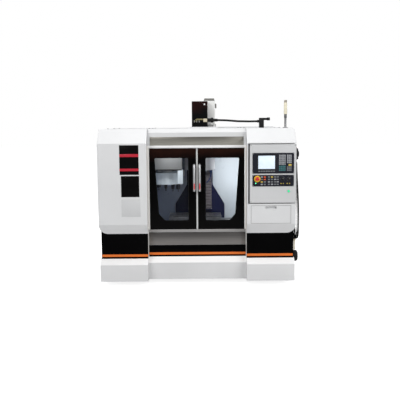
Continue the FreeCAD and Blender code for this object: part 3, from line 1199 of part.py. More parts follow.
def drawer():
    """Shallow key drawer: folded front with a finger scoop, tray behind."""
    x0, x1 = DRAWER_LEFT, DRAWER_LEFT + DRAWER_WIDTH
    z0, z1 = DRAWER_LOW, DRAWER_LOW + DRAWER_HEIGHT
    front = block(x0, x1, FRONT_Y - 1.5, FRONT_Y + 1.2, z0, z1)
    tray = block(x0 + 12, x1 - 12, FRONT_Y + 1, back(DRAWER_DEPTH), z0 + 12, z1 - 30)
    tray = tray.cut(block(x0 + 14, x1 - 14, FRONT_Y + 3, back(DRAWER_DEPTH) - 2, z0 + 14, z1))
    middle = (x0 + x1) / 2
    scoop = block(middle - 55, middle + 55, FRONT_Y - 2, FRONT_Y + 2, z1 - 32, z1 + 1)
    hood = block(middle - 58, middle + 58, FRONT_Y - 1, FRONT_Y + 22, z1 - 35, z1 - 5)
    hood = hood.cut(block(middle - 55, middle + 55, FRONT_Y - 2, FRONT_Y + 19, z1 - 32, z1 - 8))
    return fused([front.cut(scoop), tray, hood])


# ---------------------------------------------------------------- outside fittings
def power_conduit():
    """Corrugated conduit from the Z drive to the end box on the roof, with its glands."""
    y, x0, z0 = CONDUIT_Y, COVER_RIGHT, CONDUIT_Z
    x1, z1 = CONDUIT_END, CONDUIT_Z - 16
    start = x0 + 114
    tube = bent_tube([(start, y, z0), (start + 94, y, z0 - 3), (start + 224, y, z0 - 14),
                      (start + 354, y, z1 - 1), (x1 - 6, y, z1)], 12)
    gland = lathe([(0, 0), (19, 0), (19, 20), (28, 20), (28, 48), (15, 48), (15, 114), (0, 114)],
                  (x0, y, z0), (1, 0, 0), 10)
    end = lathe([(0, 0), (15, 0), (15, 22), (0, 22)], (x1 - 20, y, z1), (1, 0, 0), 10)
    box = chamfered(block(x1, x1 + 52, y - 30, y + 30, TOP_Z, TOP_Z + 110), 5, upright)
    tail = lathe([(0, 0), (13, 0), (13, 38), (17, 38), (17, 70), (0, 70)], (x1 + 50, y, TOP_Z + 97),
                 (1, 0, 0), 10)
    return fused([tube, gland, box, end, tail])


def signal_light():
    """Signal light: foot, tube and lens with its cap."""
    profile = [(0, 0), (26, 0), (26, 6), (11, 8), (11, 99), (14, 99), (14, 140), (17, 140), (17, 253),
               (15, 253), (15, 275), (11, 279), (0, 279)]
    return lathe(profile, (LIGHT_X, back(LIGHT_SETBACK), TOP_Z), (0, 0, 1), 12)


def auger_motor():
    """Chip auger gear motor that stands out of the tray's right side, axis along X, with its terminal box."""
    start = (RIGHT_X - TRAY_INSET, back(AUGER_SETBACK), AUGER_Z)
    outline = [(0, 0), (30, 0), (30, 8), (AUGER_RADIUS, 8), (AUGER_RADIUS, 60), (AUGER_RADIUS - 12, 74),
               (0, 74)]
    body = lathe(outline, start, (1, 0, 0), 16)
    x, y, z = start
    terminal = block(x + 20, x + 58, y + AUGER_RADIUS - 8, y + AUGER_RADIUS + 20, z - 24, z + 24)
    return fused([body, terminal])


def air_unit():
    """Air service unit on the right side: regulator block, knob above and bowl below."""
    x, y = RIGHT_X + 24, back(AIR_SETBACK)
    low, top = AIR_Z - 21, AIR_Z + 21
    body = chamfered(block(RIGHT_X - SIDE_INSET, x + 20, y - 24, y + 24, low, top), 4, upright)
    body = body.cut(rod(PORT_RADIUS, (x, y + 10, AIR_Z), (x, y + 25, AIR_Z)))
    cap = lathe([(0, 0), (14, 0), (14, 18), (0, 18)], (x, y, top), (0, 0, 1), 12)
    bowl = lathe([(0, 0), (10, 0), (20, 14), (20, 112.5), (0, 112.5)], (x, y, low - 112), (0, 0, 1), 12)
    return fused([body, cap, bowl])


def hand_unit():
    """Hand wheel unit hung in its holder on the right side, over the hook that takes its cord."""
    x0, y, z = RIGHT_X, HAND_Y, HAND_Z
    case = chamfered(block(x0 + 8, x0 + 42, y - 42, y + 42, z - 54, z + 54), 8, along_x)
    holder = [block(x0, x0 + 4, y - 30, y + 30, z - 66, z + 44),
              block(x0 + 2, x0 + 14, y - 30, y + 30, z - 62, z - 54),
              block(x0 + 3, x0 + 9, y - 16, y + 16, z - 6, z + 24)]
    knob = prism_z(flats(9, 8, (x0 + 30, y + 22)), z + 53, z + 64)
    hook = fused([block(x0, x0 + 6, y - 34, y + 66, HOOK_Z - 26, HOOK_Z + 26),
                  block(x0 + 5, x0 + 26, y + 30, y + 62, HOOK_Z - 16, HOOK_Z + 20)])
    stub = prism_z(flats(7, 8, (x0 + 25, y - 12)), z - 65, z - 53)
    seat = rod(KNOB_SHAFT + SHAFT_FIT, (x0 + 30, y, z), (x0 + 50, y, z))
    return Part.makeCompound([fused([case] + holder + [knob, stub]).cut(seat), hook])


def hand_wheel():
    """Hand wheel with a finger dimple, on its shaft in the outer face of the hand unit."""
    x, y, z = RIGHT_X + 42, HAND_Y, HAND_Z
    wheel = lathe([(0, 0.4), (29, 0.4), (30, 3), (30, 9), (27, 12), (0, 12)], (x, y, z), (1, 0, 0), 20)
    wheel = wheel.cut(lathe([(0, 0), (4, 0), (7, 5), (0, 5)], (x + 8, y, z + 18), (1, 0, 0), 8))
    shaft = lathe([(0, -10), (KNOB_SHAFT, -10), (KNOB_SHAFT, 2), (0, 2)], (x, y, z), (1, 0, 0), 8)
    return fused([wheel, shaft])


def hand_unit_cord():
    """Free cord of the hand unit: down from the unit in one long hanging loop and up to the hook."""
    return bent_tube(CORD_ROUTE, CORD_RADIUS, sides=6)


# ---------------------------------------------------------------- electrical cabinet
def electrical_cabinet():
    """Cabinet on the back of the machine, open at the rear, with its mounting plate and hinge halves."""
    y0, y1 = back(POWER_FRONT), back(DEPTH - POWER_DOOR) - 2
    box = block(POWER_LEFT, POWER_RIGHT, y0, y1, POWER_LOW, POWER_TOP)
    box = hollow(box, SHEET, lambda c, n: n.y > 0.9)
    plate = block(POWER_LEFT + 40, POWER_RIGHT - 40, y0 + SHEET, y0 + 22, POWER_LOW + 40, POWER_TOP - 40)
    plate = plate.cut(block(POWER_LEFT + 43, POWER_RIGHT - 43, y0 + 2, y0 + 19, POWER_LOW + 43,
                            POWER_TOP - 43))
    feet = [block(POWER_LEFT + 20, POWER_LEFT + 60, back(BODY_BACK) + SHEET, y0, z, z + 60)
            for z in (420.0, 1400.0)]
    feet += [block(POWER_RIGHT - 60, POWER_RIGHT - 20, back(BODY_BACK) + SHEET, y0, z, z + 60)
             for z in (420.0, 1400.0)]
    hinges = []
    for z in DOOR_HINGE_Z:
        leaf = block(POWER_RIGHT, POWER_RIGHT + 3, y1 - 40, DOOR_HINGE_Y, z - 30, z - 1)
        barrel = prism_z(flats(HINGE_KNUCKLE, 8, (DOOR_HINGE_X, DOOR_HINGE_Y)), z - 30, z - 1)
        hinges += [leaf, barrel,
                   rod(HINGE_PIN, (DOOR_HINGE_X, DOOR_HINGE_Y, z - 2), (DOOR_HINGE_X, DOOR_HINGE_Y, z + 28))]
    return fused([box, plate] + feet + hinges)


def cabinet_door():
    """Folded rear door with a vent field, hinge knuckles, and bosses for the latch and the main switch."""
    y0, y1 = back(DEPTH - POWER_DOOR), back(DEPTH)
    wall = SHEET - 1
    door = block(POWER_LEFT, POWER_RIGHT, y0, y1, POWER_LOW, POWER_TOP)
    door = chamfered(door, 4, lambda a, b: min(a.y, b.y) > y1 - 1e-6)
    door = door.cut(block(POWER_LEFT + wall, POWER_RIGHT - wall, y0 - 1, y1 - wall, POWER_LOW + wall,
                          POWER_TOP - wall))
    for z in (LATCH_Z, SWITCH_Z):
        door = door.cut(rod(LATCH_STEM + SHAFT_FIT, (LATCH_X, y0 - 1, z), (LATCH_X, y1 + 1, z)))
    for index in range(VENT_SLOTS):
        z = VENT_Z + index * VENT_PITCH
        door = door.cut(block(VENT_X - VENT_WIDTH / 2, VENT_X + VENT_WIDTH / 2, y1 - 5, y1 + 1, z,
                              z + VENT_PITCH / 2))
    bore = LATCH_STEM + SHAFT_FIT
    bosses = [prism_y(flats(LATCH_STEM + 6, 8, (LATCH_X, z)), y0 + 4, y1 - 1).cut(
        rod(bore, (LATCH_X, y0, z), (LATCH_X, y1, z))) for z in (LATCH_Z, SWITCH_Z)]
    knuckles = []
    for z in DOOR_HINGE_Z:
        leaf = block(POWER_RIGHT - 1, POWER_RIGHT + 3, DOOR_HINGE_Y, y1 - 8, z + 0.5, z + 30)
        knuckles.append(hinge_half(leaf, DOOR_HINGE_X, DOOR_HINGE_Y, z + 0.5, z + 30))
    return fused([door] + bosses + knuckles)


def cabinet_handle():
    """Lever handle of the rear door with its spindle and cam."""
    y1 = back(DEPTH)
    outline = [(0, -22), (LATCH_STEM, -22), (LATCH_STEM, 20), (0, 20)]
    stem = lathe(outline, (LATCH_X, y1, LATCH_Z), (0, 1, 0), 12)
    lever = block(LATCH_X - 11, LATCH_X + 11, y1 + 16, y1 + 28, LATCH_Z - 96, LATCH_Z + 14)
    lever = chamfered(lever, 4, along_y)
    rose = prism_y(flats(18, 16, (LATCH_X, LATCH_Z)), y1 + FIT, y1 + 6)
    cam = block(LATCH_X - 8, LATCH_X + 8, y1 - 25, y1 - 20.5, LATCH_Z - 8, LATCH_Z + 34)
    return fused([stem, lever, rose, cam])


def main_switch():
    """Main switch knob with a cross grip."""
    y1 = back(DEPTH)
    outline = [(0, -22), (LATCH_STEM, -22), (LATCH_STEM, 4), (0, 4)]
    stem = lathe(outline, (LATCH_X, y1, SWITCH_Z), (0, 1, 0), 12)
    dial = prism_y(flats(30, 20, (LATCH_X, SWITCH_Z)), y1 + FIT + 0.1, y1 + 8)
    grip = block(LATCH_X - 8, LATCH_X + 8, y1 + 6, y1 + 30, SWITCH_Z - 26, SWITCH_Z + 26)
    grip = chamfered(grip, 3, along_y)
    return fused([stem, dial, grip])


PIECES = {
    "levelling_feet": levelling_feet, "coolant_tray": coolant_tray, "tray_rim": tray_rim,
    "plinth_skirts": plinth_skirts, "left_cabinet": left_cabinet, "right_cabinet": right_cabinet,
    "front_header": front_header, "door_sill": door_sill,
    "left_side_panel": side_panel, "right_side_panel": lambda: mirrored(side_panel()),
    "roof_panel": roof_panel, "rear_panel": rear_panel, "splash_tub": splash_tub,
    "bed": bed, "column": column, "guide_rails": guide_rails, "saddle": saddle, "table": table,
    "x_screw": x_screw, "y_screw": y_screw, "z_screw": z_screw,
    "head": head, "spindle_cartridge": spindle_cartridge, "spindle_shaft": spindle_shaft,
    "spindle_motor": spindle_motor, "coolant_hose": coolant_hose, "z_bellows": z_bellows,
    "z_drive_cover": z_drive_cover, "z_motor": z_motor,
    "changer_beam": changer_beam, "changer_carriage": changer_carriage, "changer_cover": changer_cover,
    "tool_disc": tool_disc, "tool_holders": tool_holders,
    "left_door": lambda: door_leaf(-1), "left_window": lambda: door_pane(-1),
    "left_handle": lambda: door_handle(-1), "right_door": lambda: door_leaf(1),
    "right_window": lambda: door_pane(1), "right_handle": lambda: door_handle(1), "door_seal": door_seal,
    "pendant_box": pendant_box, "control_unit": control_unit,
    "operator_panel": operator_panel, "estop_button": estop_button, "start_button": start_button,
    "feed_knob": lambda: override_knob(KNOB_X[0]), "spindle_knob": lambda: override_knob(KNOB_X[1]),
    "drawer": drawer, "power_conduit": power_conduit, "signal_light": signal_light,
    "auger_motor": auger_motor, "air_unit": air_unit, "hand_unit": hand_unit, "hand_wheel": hand_wheel,
    "hand_unit_cord": hand_unit_cord,
    "electrical_cabinet": electrical_cabinet, "cabinet_door": cabinet_door, "cabinet_handle": cabinet_handle,
    "main_switch": main_switch,
}

for piece_name, make in PIECES.items():
    keep(piece_name, make())

os.makedirs("parts", exist_ok=True)
for piece_name, shape in PARTS.items():
    shape.exportStep(f"parts/{piece_name}.step")
print(len(PARTS), "pieces")
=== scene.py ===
"""Looks of a compact enclosed machining centre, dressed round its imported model.

Each sub-assembly is a class.  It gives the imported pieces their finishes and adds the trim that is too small
or too thin for the model: strips, plates, keys, screws, gaskets and the hand unit's curly cord.
"""

import logging
import math
from dataclasses import dataclass
from enum import Enum
from functools import cached_property
from typing import Iterable, Sequence

import bmesh
import bpy
from mathutils import Matrix, Vector


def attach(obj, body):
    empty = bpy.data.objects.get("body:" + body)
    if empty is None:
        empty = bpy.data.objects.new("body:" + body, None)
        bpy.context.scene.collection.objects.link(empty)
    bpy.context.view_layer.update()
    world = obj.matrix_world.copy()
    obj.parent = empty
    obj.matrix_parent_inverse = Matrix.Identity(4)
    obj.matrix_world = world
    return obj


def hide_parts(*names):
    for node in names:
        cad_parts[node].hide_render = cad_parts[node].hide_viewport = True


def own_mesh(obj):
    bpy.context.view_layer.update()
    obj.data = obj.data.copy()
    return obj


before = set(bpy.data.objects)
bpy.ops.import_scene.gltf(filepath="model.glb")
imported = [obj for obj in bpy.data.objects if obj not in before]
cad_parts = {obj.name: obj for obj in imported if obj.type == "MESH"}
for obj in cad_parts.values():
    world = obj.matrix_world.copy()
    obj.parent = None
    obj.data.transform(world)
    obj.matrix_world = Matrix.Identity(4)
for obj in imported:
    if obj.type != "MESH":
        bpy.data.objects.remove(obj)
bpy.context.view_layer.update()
LOG = logging.getLogger("machining_centre")

Pair = tuple[float, float]
Point = tuple[float, float, float]
Box = tuple[Point, Point]
Profile = tuple[Pair, ...]
Colour = tuple[float, float, float]
Mesh = bmesh.types.BMesh
Socket = bpy.types.NodeSocket

FRONT, REAR = (0, -1, 0), (0, 1, 0)
LEFT, RIGHT = (-1, 0, 0), (1, 0, 0)
UP, DOWN = (0, 0, 1), (0, 0, -1)


# ------------------------------------------------------------------ finishes
NOISE_BAND = (0.3, 0.7)
PATCH_LOW, PATCH_HIGH = 0.35, 0.65
ROUGH_LOW, ROUGH_HIGH = 0.82, 1.18
COAT_ROUGHNESS = 0.08
PANE_IOR = 1.5
DUST_COLOUR = (0.42, 0.40, 0.37, 1.0)
DUST_PATCHES = 9.0
STREAKS = 260.0
STREAK_TONE = (0.82, 0.82, 0.82)
WHITE_LIGHT = (1.0, 1.0, 1.0, 1.0)
FLAT_ANGLE = math.radians(32)


class Grain(Enum):
    """Way that a surface is brushed or ground; the value stretches its noise."""

    NONE = (1.0, 1.0, 1.0)
    ALONG_X = (0.015, 1.0, 1.0)
    ALONG_Y = (1.0, 0.015, 1.0)
    ALONG_Z = (1.0, 1.0, 0.015)


class Nodes:
    """Short way to lay out the nodes of a material or of the world.

    Args:
        holder: the material or the world.
    """

    def __init__(self, holder: bpy.types.Material | bpy.types.World) -> None:
        """Open the holder's node tree."""
        holder.use_nodes = True
        self.holder, self.tree = holder, holder.node_tree

    @cached_property
    def shader(self) -> bpy.types.Node:
        """The material's shader."""
        return self.tree.nodes["Principled BSDF"]

    @cached_property
    def place(self) -> Socket:
        """Coordinates in the object's own space."""
        return self.add("ShaderNodeTexCoord").outputs["Object"]

    @cached_property
    def camera_ray(self) -> Socket:
        """1 where the camera looks straight at the surface."""
        return self.add("ShaderNodeLightPath").outputs["Is Camera Ray"]

    def feed(self, node: bpy.types.Node, inputs: dict[str | int, object]) -> None:
        """Link sockets to a node's inputs, or set the inputs to numbers and colours.

        Args:
            node: the node.
            inputs: what goes into which input.
        """
        for key, value in inputs.items():
            if isinstance(value, Socket):
                self.tree.links.new(value, node.inputs[key])
            else:
                node.inputs[key].default_value = value

    def add(self, kind: str, inputs: dict[str | int, object] | None = None,
            **settings: object) -> bpy.types.Node:
        """Add a node.

        Args:
            kind: the node's type name.
            inputs: what goes into which input.
            settings: properties of the node.

        Returns:
            The new node.
        """
        node = self.tree.nodes.new(kind)
        for key, value in settings.items():
            setattr(node, key, value)
        self.feed(node, inputs or {})
        return node

    def noise(self, size: float, detail: float = 3.0, stretch: Point = (1.0, 1.0, 1.0)) -> Socket:
        """Noise in the object's own space.

        Args:
            size: how many blotches there are in a metre.
            detail: octaves.
            stretch: factors along the axes.

        Returns:
            The noise's value.
        """
        place = self.add("ShaderNodeMapping", {"Scale": stretch, "Vector": self.place}).outputs["Vector"]
        return self.add("ShaderNodeTexNoise", {"Scale": size, "Detail": detail, "Vector": place}).outputs[0]

    def ramp(self, value: Socket, stops: Sequence[tuple[float, Colour]]) -> Socket:
        """Colour ramp over a value.

        Args:
            value: what to look up.
            stops: two positions and their colours.

        Returns:
            The colour.
        """
        node = self.add("ShaderNodeValToRGB", {"Fac": value})
        for element, (position, colour) in zip(node.color_ramp.elements, stops):
            element.position, element.color = position, (*colour, 1.0)
        return node.outputs["Color"]

    def spread(self, value: Socket, low: float, high: float, band: Pair = NOISE_BAND,
               **settings: object) -> Socket:
        """Map a band of a value onto low..high.

        Args:
            value: the value.
            low: result for the foot of the band.
            high: result for its head.
            band: foot and head of the band.
            settings: properties of the node.

        Returns:
            The mapped value.
        """
        inputs = {"Value": value, "From Min": band[0], "From Max": band[1], "To Min": low, "To Max": high}
        return self.add("ShaderNodeMapRange", inputs, **settings).outputs["Result"]

    def math(self, operation: str, first: Socket, second: Socket | float = 0.0) -> Socket:
        """One arithmetic step.

        Args:
            operation: the Math node's operation.
            first: its first input.
            second: its second input.

        Returns:
            The result.
        """
        return self.add("ShaderNodeMath", {0: first, 1: second}, operation=operation).outputs[0]

    def axis(self, index: int, vector: Socket | None = None) -> Socket:
        """One part of a vector, or of the place in metres: 0 for X, 1 for Y, 2 for Z."""
        return self.add("ShaderNodeSeparateXYZ", {0: self.place if vector is None else vector}).outputs[index]

    def blend(self, amount: object, first: object, second: object, kind: str = "MIX") -> Socket:
        """Mix two colours.

        Args:
            amount: share of the second, as a socket or a number.
            first: the first colour, as a socket or four numbers.
            second: the second colour, likewise.
            kind: way of mixing.

        Returns:
            The mixed colour.
        """
        inputs = {"Factor": amount, "A": first, "B": second}
        return self.add("ShaderNodeMix", inputs, data_type="RGBA", blend_type=kind).outputs["Result"]

    def bump(self, height: Socket, strength: float, distance: float, under: Socket | None = None) -> Socket:
        """Bump a surface by a height.

        Args:
            height: the height field.
            strength: how strongly it shows.
            distance: its depth in metres.
            under: a normal that it adds to.

        Returns:
            The bumped normal.
        """
        inputs = {"Strength": strength, "Distance": distance, "Height": height}
        if under is not None:
            inputs["Normal"] = under
        return self.add("ShaderNodeBump", inputs).outputs["Normal"]


@dataclass(frozen=True)
class Finish:
    """A finish with its colour drift, roughness drift and surface grain.

    Args:
        name: the material's name.
        colour: linear base colour.
        roughness: mean roughness.
        metallic: 0 for paint and plastic, 1 for bare metal.
        drift: share by which the colour wanders.
        drift_size: blotches in a metre.
        grain: way of brushing.
        texture: strength of the fine relief.
        texture_size: relief bumps in a metre.
        depth: relief depth in metres.
        coat: clear coat.
        dust: colour that settles on faces that look up, as a share.
        shine: strength of the reflection on paint, plastic and glass.
    """

    name: str
    colour: Colour
    roughness: float = 0.4
    metallic: float = 0.0
    drift: float = 0.05
    drift_size: float = 2.5
    grain: Grain = Grain.NONE
    texture: float = 0.08
    texture_size: float = 320.0
    depth: float = 0.0006
    coat: float = 0.0
    dust: float = 0.0
    shine: float = 0.5

    def base(self, nodes: Nodes) -> Socket:
        """Colour that wanders a little over the surface, with dust on what looks up.

        Args:
            nodes: the material's nodes.

        Returns:
            The colour.
        """
        low = tuple(max(0.0, c * (1 - self.drift)) for c in self.colour)
        high = tuple(min(1.0, c * (1 + self.drift)) for c in self.colour)
        colour = nodes.ramp(nodes.noise(self.drift_size, 5.0), [(PATCH_LOW, low), (PATCH_HIGH, high)])
        if not self.dust:
            return colour
        up = nodes.math("MAXIMUM", nodes.axis(2, nodes.add("ShaderNodeNewGeometry").outputs["Normal"]))
        amount = nodes.math("MULTIPLY", up, nodes.spread(nodes.noise(DUST_PATCHES, 6.0), 0.0, self.dust))
        return nodes.blend(amount, colour, DUST_COLOUR)

    def relief(self, nodes: Nodes) -> Socket:
        """Fine relief of the surface, as a normal."""
        height = nodes.noise(self.texture_size, 2.0, self.grain.value)
        return nodes.bump(height, self.texture, self.depth)

    def material(self) -> bpy.types.Material:
        """The finish as a material, made once.

        Returns:
            The material.
        """
        found = bpy.data.materials.get(self.name)
        if found is not None and found.get("made_here"):
            return found
        made = bpy.data.materials.new(self.name)
        nodes = Nodes(made)
        rough = nodes.spread(nodes.noise(self.drift_size * 6, 4.0, self.grain.value),
                             self.roughness * ROUGH_LOW, min(1.0, self.roughness * ROUGH_HIGH))
        nodes.feed(nodes.shader, {
            "Base Color": self.base(nodes), "Roughness": rough, "Normal": self.relief(nodes),
            "Metallic": self.metallic, "Coat Weight": self.coat, "Coat Roughness": COAT_ROUGHNESS,
            "Specular IOR Level": self.shine})
        self.extra(nodes)
        made["made_here"] = True
        return made

    def extra(self, nodes: Nodes) -> None:
        """Set what only some finishes have."""


@dataclass(frozen=True)
class Brushed(Finish):
    """Brushed sheet with painted shade: its tone darkens from one level to another along Z.

    Args:
        dark: share of the colour left where the painted shade is full.
        dark_z: height of that level in metres.
        pale_z: height of the level without painted shade.
    """

    dark: float = 1.0
    dark_z: float = 0.0
    pale_z: float = 1.0

    def base(self, nodes: Nodes) -> Socket:
        """Streaked colour with painted shade along Z."""
        # painted shade: full colour at pale_z, darker towards dark_z
        span = nodes.spread(nodes.axis(2), 0.0, 1.0, (self.dark_z, self.pale_z),
                            interpolation_type="SMOOTHSTEP")
        shade = nodes.ramp(span, [(0.0, tuple(c * self.dark for c in self.colour)), (1.0, self.colour)])
        lines = nodes.noise(STREAKS, 4.0, self.grain.value)
        streak = nodes.ramp(lines, [(PATCH_LOW, STREAK_TONE), (PATCH_HIGH, (1.0, 1.0, 1.0))])
        return nodes.blend(1.0, shade, streak, "MULTIPLY")


@dataclass(frozen=True)
class PaintedLightFade(Finish):
    """Finish with painted light and shade: its colour fades into another along an axis.

    Args:
        painted_light_colour: colour at the far end.
        low: where the fade starts, in metres.
        high: where it is full.
        index: 0, 1 or 2 for X, Y or Z.
        patchy: how far soft patches break it up.
    """

    painted_light_colour: Colour = (0.0, 0.0, 0.0)
    low: float = 0.0
    high: float = 1.0
    index: int = 2
    patchy: float = 0.8

    def base(self, nodes: Nodes) -> Socket:
        """Colour with painted light and shade that fades along the axis, in soft patches."""
        rise = nodes.spread(nodes.axis(self.index), 0.0, 1.0, (self.low, self.high))
        patches = nodes.spread(nodes.noise(self.drift_size), 1.0 - self.patchy, 1.0 + self.patchy)
        return nodes.ramp(nodes.math("MULTIPLY", rise, patches), [(0.1, self.colour), (1.0, self.painted_light_colour)])


@dataclass(frozen=True)
class Ribbed(Finish):
    """Surface with even ribs across one axis, such as a conduit or a thread, with painted shade between them.

    Args:
        index: 0, 1 or 2 for X, Y or Z.
        pitch: rib spacing in metres.
        rib_depth: depth of the ribs in metres.
        shade: share of the colour left between the ribs, where painted shade darkens it.
    """

    index: int = 0
    pitch: float = 0.004
    rib_depth: float = 0.001
    shade: float = 0.6

    def wave(self, nodes: Nodes) -> Socket:
        """Rib height from 0 to 1."""
        angle = nodes.math("MULTIPLY", nodes.axis(self.index), 2 * math.pi / self.pitch)
        return nodes.math("ADD", nodes.math("MULTIPLY", nodes.math("SINE", angle), 0.5), 0.5)

    def base(self, nodes: Nodes) -> Socket:
        """Colour with painted shade between the ribs."""
        low = tuple(c * self.shade for c in self.colour)
        return nodes.ramp(self.wave(nodes), [(0.1, low), (0.7, self.colour)])

    def relief(self, nodes: Nodes) -> Socket:
        """Ribs over the fine relief."""
        fine = nodes.bump(nodes.noise(self.texture_size, 2.0), self.texture, self.depth)
        return nodes.bump(self.wave(nodes), 1.0, self.rib_depth, fine)


@dataclass(frozen=True)
class Clear(Finish):
    """Clear glass or plastic.

    Args:
        opaque: share that stays solid, as dust and film.
    """

    opaque: float = 0.0

    def extra(self, nodes: Nodes) -> None:
        """Let light straight through, with a reflection on top."""
        nodes.feed(nodes.shader, {"Alpha": self.opaque, "IOR": PANE_IOR})
        nodes.holder.surface_render_method = "BLENDED"


@dataclass(frozen=True)
class Glowing(Finish):
    """Lamp or lit screen.

    Args:
        glow: strength of its own light.
    """

    glow: float = 1.0

    def extra(self, nodes: Nodes) -> None:
        """Send out its own colour."""
        nodes.feed(nodes.shader, {"Emission Color": (*self.colour, 1.0), "Emission Strength": self.glow})


WHITE = Finish("powder_white", (0.73, 0.735, 0.74), 0.42, drift=0.02, texture=0.10, texture_size=700,
               dust=0.03, shine=0.35)
JAMB = Finish("jamb_white", (0.84, 0.82, 0.79), 0.7, drift=0.02, texture=0.10, texture_size=700, shine=0.05)
RIM_WHITE = Finish("rim_white", (0.97, 0.97, 0.97), 0.40, drift=0.02, texture=0.10, texture_size=700,
                   dust=0.03)
# grey of the sill's lip, also used for the painted shadow line round the drawer
LIP_GREY = Finish("lip_grey", (0.33, 0.32, 0.315), 0.42, drift=0.04, texture=0.08)
PALE = Finish("powder_pale_grey", (0.635, 0.64, 0.645), 0.40, drift=0.02, texture=0.10, texture_size=700)
TRAY = Finish("tray_grey", (0.76, 0.762, 0.765), 0.55, drift=0.03, texture=0.35, texture_size=900, dust=0.05)
SKIRT = Finish("skirt_black", (0.0014, 0.0013, 0.0015), 0.45, drift=0.2, texture=0.10, texture_size=800,
               shine=0.025)
# painted reflection: the doors' black lacquer turns dark brown towards their heads
GLOSS = PaintedLightFade("gloss_black", (0.0011, 0.0009, 0.0010), 0.12, drift=0.3, drift_size=3, texture=0.02,
               texture_size=60, shine=0.08, painted_light_colour=(0.020, 0.0065, 0.004), low=1.22, high=1.36)
# painted reflection: the cover's black turns dark brown towards its top
COVER_BLACK = PaintedLightFade("cover_black", (0.0022, 0.0024, 0.0026), 0.16, drift=0.3, drift_size=6, texture=0.02,
                     texture_size=60, shine=0.12, painted_light_colour=(0.015, 0.0045, 0.004), low=1.69, high=1.76)
ORANGE = Finish("stripe_orange", (0.80, 0.17, 0.015), 0.38, drift=0.03, texture=0.03)
CASTING = Finish("enamel_blue", (0.010, 0.012, 0.050), 0.36, drift=0.12, drift_size=6, texture=0.25,
                 texture_size=130, depth=0.0012, coat=0.08, shine=0.14)
MACHINE = Finish("enamel_white", (0.66, 0.67, 0.68), 0.34, drift=0.03, texture=0.14, texture_size=160,
                 coat=0.2)
# painted shade and light: the lining darkens to bluish towards the left and pales towards the right, where
# the work lamp falls
TUB = PaintedLightFade("tub_blue_white", (0.28, 0.33, 0.44), 0.33, drift=0.05, texture=0.05, texture_size=400,
             coat=0.15, painted_light_colour=(0.60, 0.66, 0.71), low=-0.35, high=0.20, index=0, patchy=0.05)
SADDLE_GREY = Finish("saddle_grey", (0.33, 0.35, 0.38), 0.36, drift=0.08, texture=0.2, texture_size=140)
GROUND = Finish("ground_iron", (0.47, 0.47, 0.48), 0.30, 1.0, drift=0.10, drift_size=14, grain=Grain.ALONG_X,
                texture=0.25, texture_size=520, depth=0.0002)
STEEL = Finish("ground_steel", (0.60, 0.60, 0.62), 0.22, 1.0, drift=0.05, grain=Grain.ALONG_Y, texture=0.1,
               texture_size=500, depth=0.0002)
SPINDLE_STEEL = Finish("turned_steel", (0.62, 0.62, 0.63), 0.2, 1.0, drift=0.04, grain=Grain.NONE,
                       texture=0.06, texture_size=900, depth=0.0001)
HOLDER_STEEL = Finish("holder_black_oxide", (0.045, 0.045, 0.055), 0.3, 0.9, drift=0.2, drift_size=30,
                      texture=0.05)
ZINC = Finish("zinc", (0.55, 0.56, 0.55), 0.38, 1.0, drift=0.12, drift_size=30, texture=0.12,
              texture_size=300)
SCREW = Finish("screw_black", (0.03, 0.03, 0.03), 0.35, 0.8, drift=0.2, drift_size=60)
RUBBER = Finish("black_rubber", (0.008, 0.008, 0.008), 0.62, drift=0.15, texture=0.12, texture_size=500,
                shine=0.2)
GREY_RUBBER = Finish("seal_grey", (0.62, 0.63, 0.62), 0.55, drift=0.03, texture=0.06)
PLASTIC = Finish("black_plastic", (0.010, 0.010, 0.011), 0.42, drift=0.1, texture=0.2, texture_size=1200,
                 shine=0.25)
PANEL = Finish("panel_charcoal", (0.011, 0.012, 0.020), 0.38, drift=0.06, texture=0.15, texture_size=1500,
               shine=0.25)
BEIGE = Finish("beige_plastic", (0.58, 0.52, 0.38), 0.35, drift=0.04, texture=0.05)
MOTOR = Finish("motor_grey", (0.40, 0.41, 0.42), 0.42, drift=0.05, texture=0.3, texture_size=260)
MOTOR_BLACK = Finish("motor_black", (0.010, 0.010, 0.011), 0.42, drift=0.1, texture=0.25, texture_size=300,
                     shine=0.3)
CHROME = Finish("dark_chrome", (0.20, 0.20, 0.205), 0.28, 0.8, drift=0.03, texture=0.01)
CREAM = Finish("lens_cream", (0.86, 0.80, 0.62), 0.22, drift=0.04, texture=0.03, coat=0.4)
TAN = Finish("cap_tan", (0.36, 0.32, 0.27), 0.40, drift=0.04, texture=0.1, texture_size=600)
WIRE = Finish("wire_yellow", (0.40, 0.35, 0.17), 0.42, drift=0.06)
MOTOR_WHITE = Finish("motor_white", (0.86, 0.86, 0.84), 0.40, drift=0.02, texture=0.15, texture_size=260)
HEAD_WHITE = Finish("head_white", (0.72, 0.72, 0.75), 0.34, drift=0.04, texture=0.14, texture_size=160,
                    coat=0.2)
GUARD = Finish("guard_grey", (0.27, 0.28, 0.285), 0.45, drift=0.04, texture=0.1, texture_size=500)
CAP_GREY = Finish("cap_grey", (0.20, 0.195, 0.18), 0.42, drift=0.05, texture=0.2, texture_size=500)
HANDLE = Finish("handle_silver", (0.66, 0.67, 0.68), 0.24, 0.6, drift=0.02, grain=Grain.ALONG_Z,
                texture=0.05)
RED = Finish("signal_red", (0.60, 0.018, 0.020), 0.30, drift=0.05, texture=0.04, coat=0.3)
YELLOW = Finish("safety_yellow", (0.85, 0.48, 0.01), 0.35, drift=0.04, texture=0.04)
GREEN = Glowing("start_green", (0.02, 0.62, 0.25), 0.3, drift=0.02, glow=0.7)
LED = Glowing("lamp_green", (0.10, 0.85, 0.35), 0.3, drift=0.02, glow=1.6)
KEY = Finish("key_grey", (0.17, 0.18, 0.19), 0.45, drift=0.04, texture=0.1, texture_size=900)
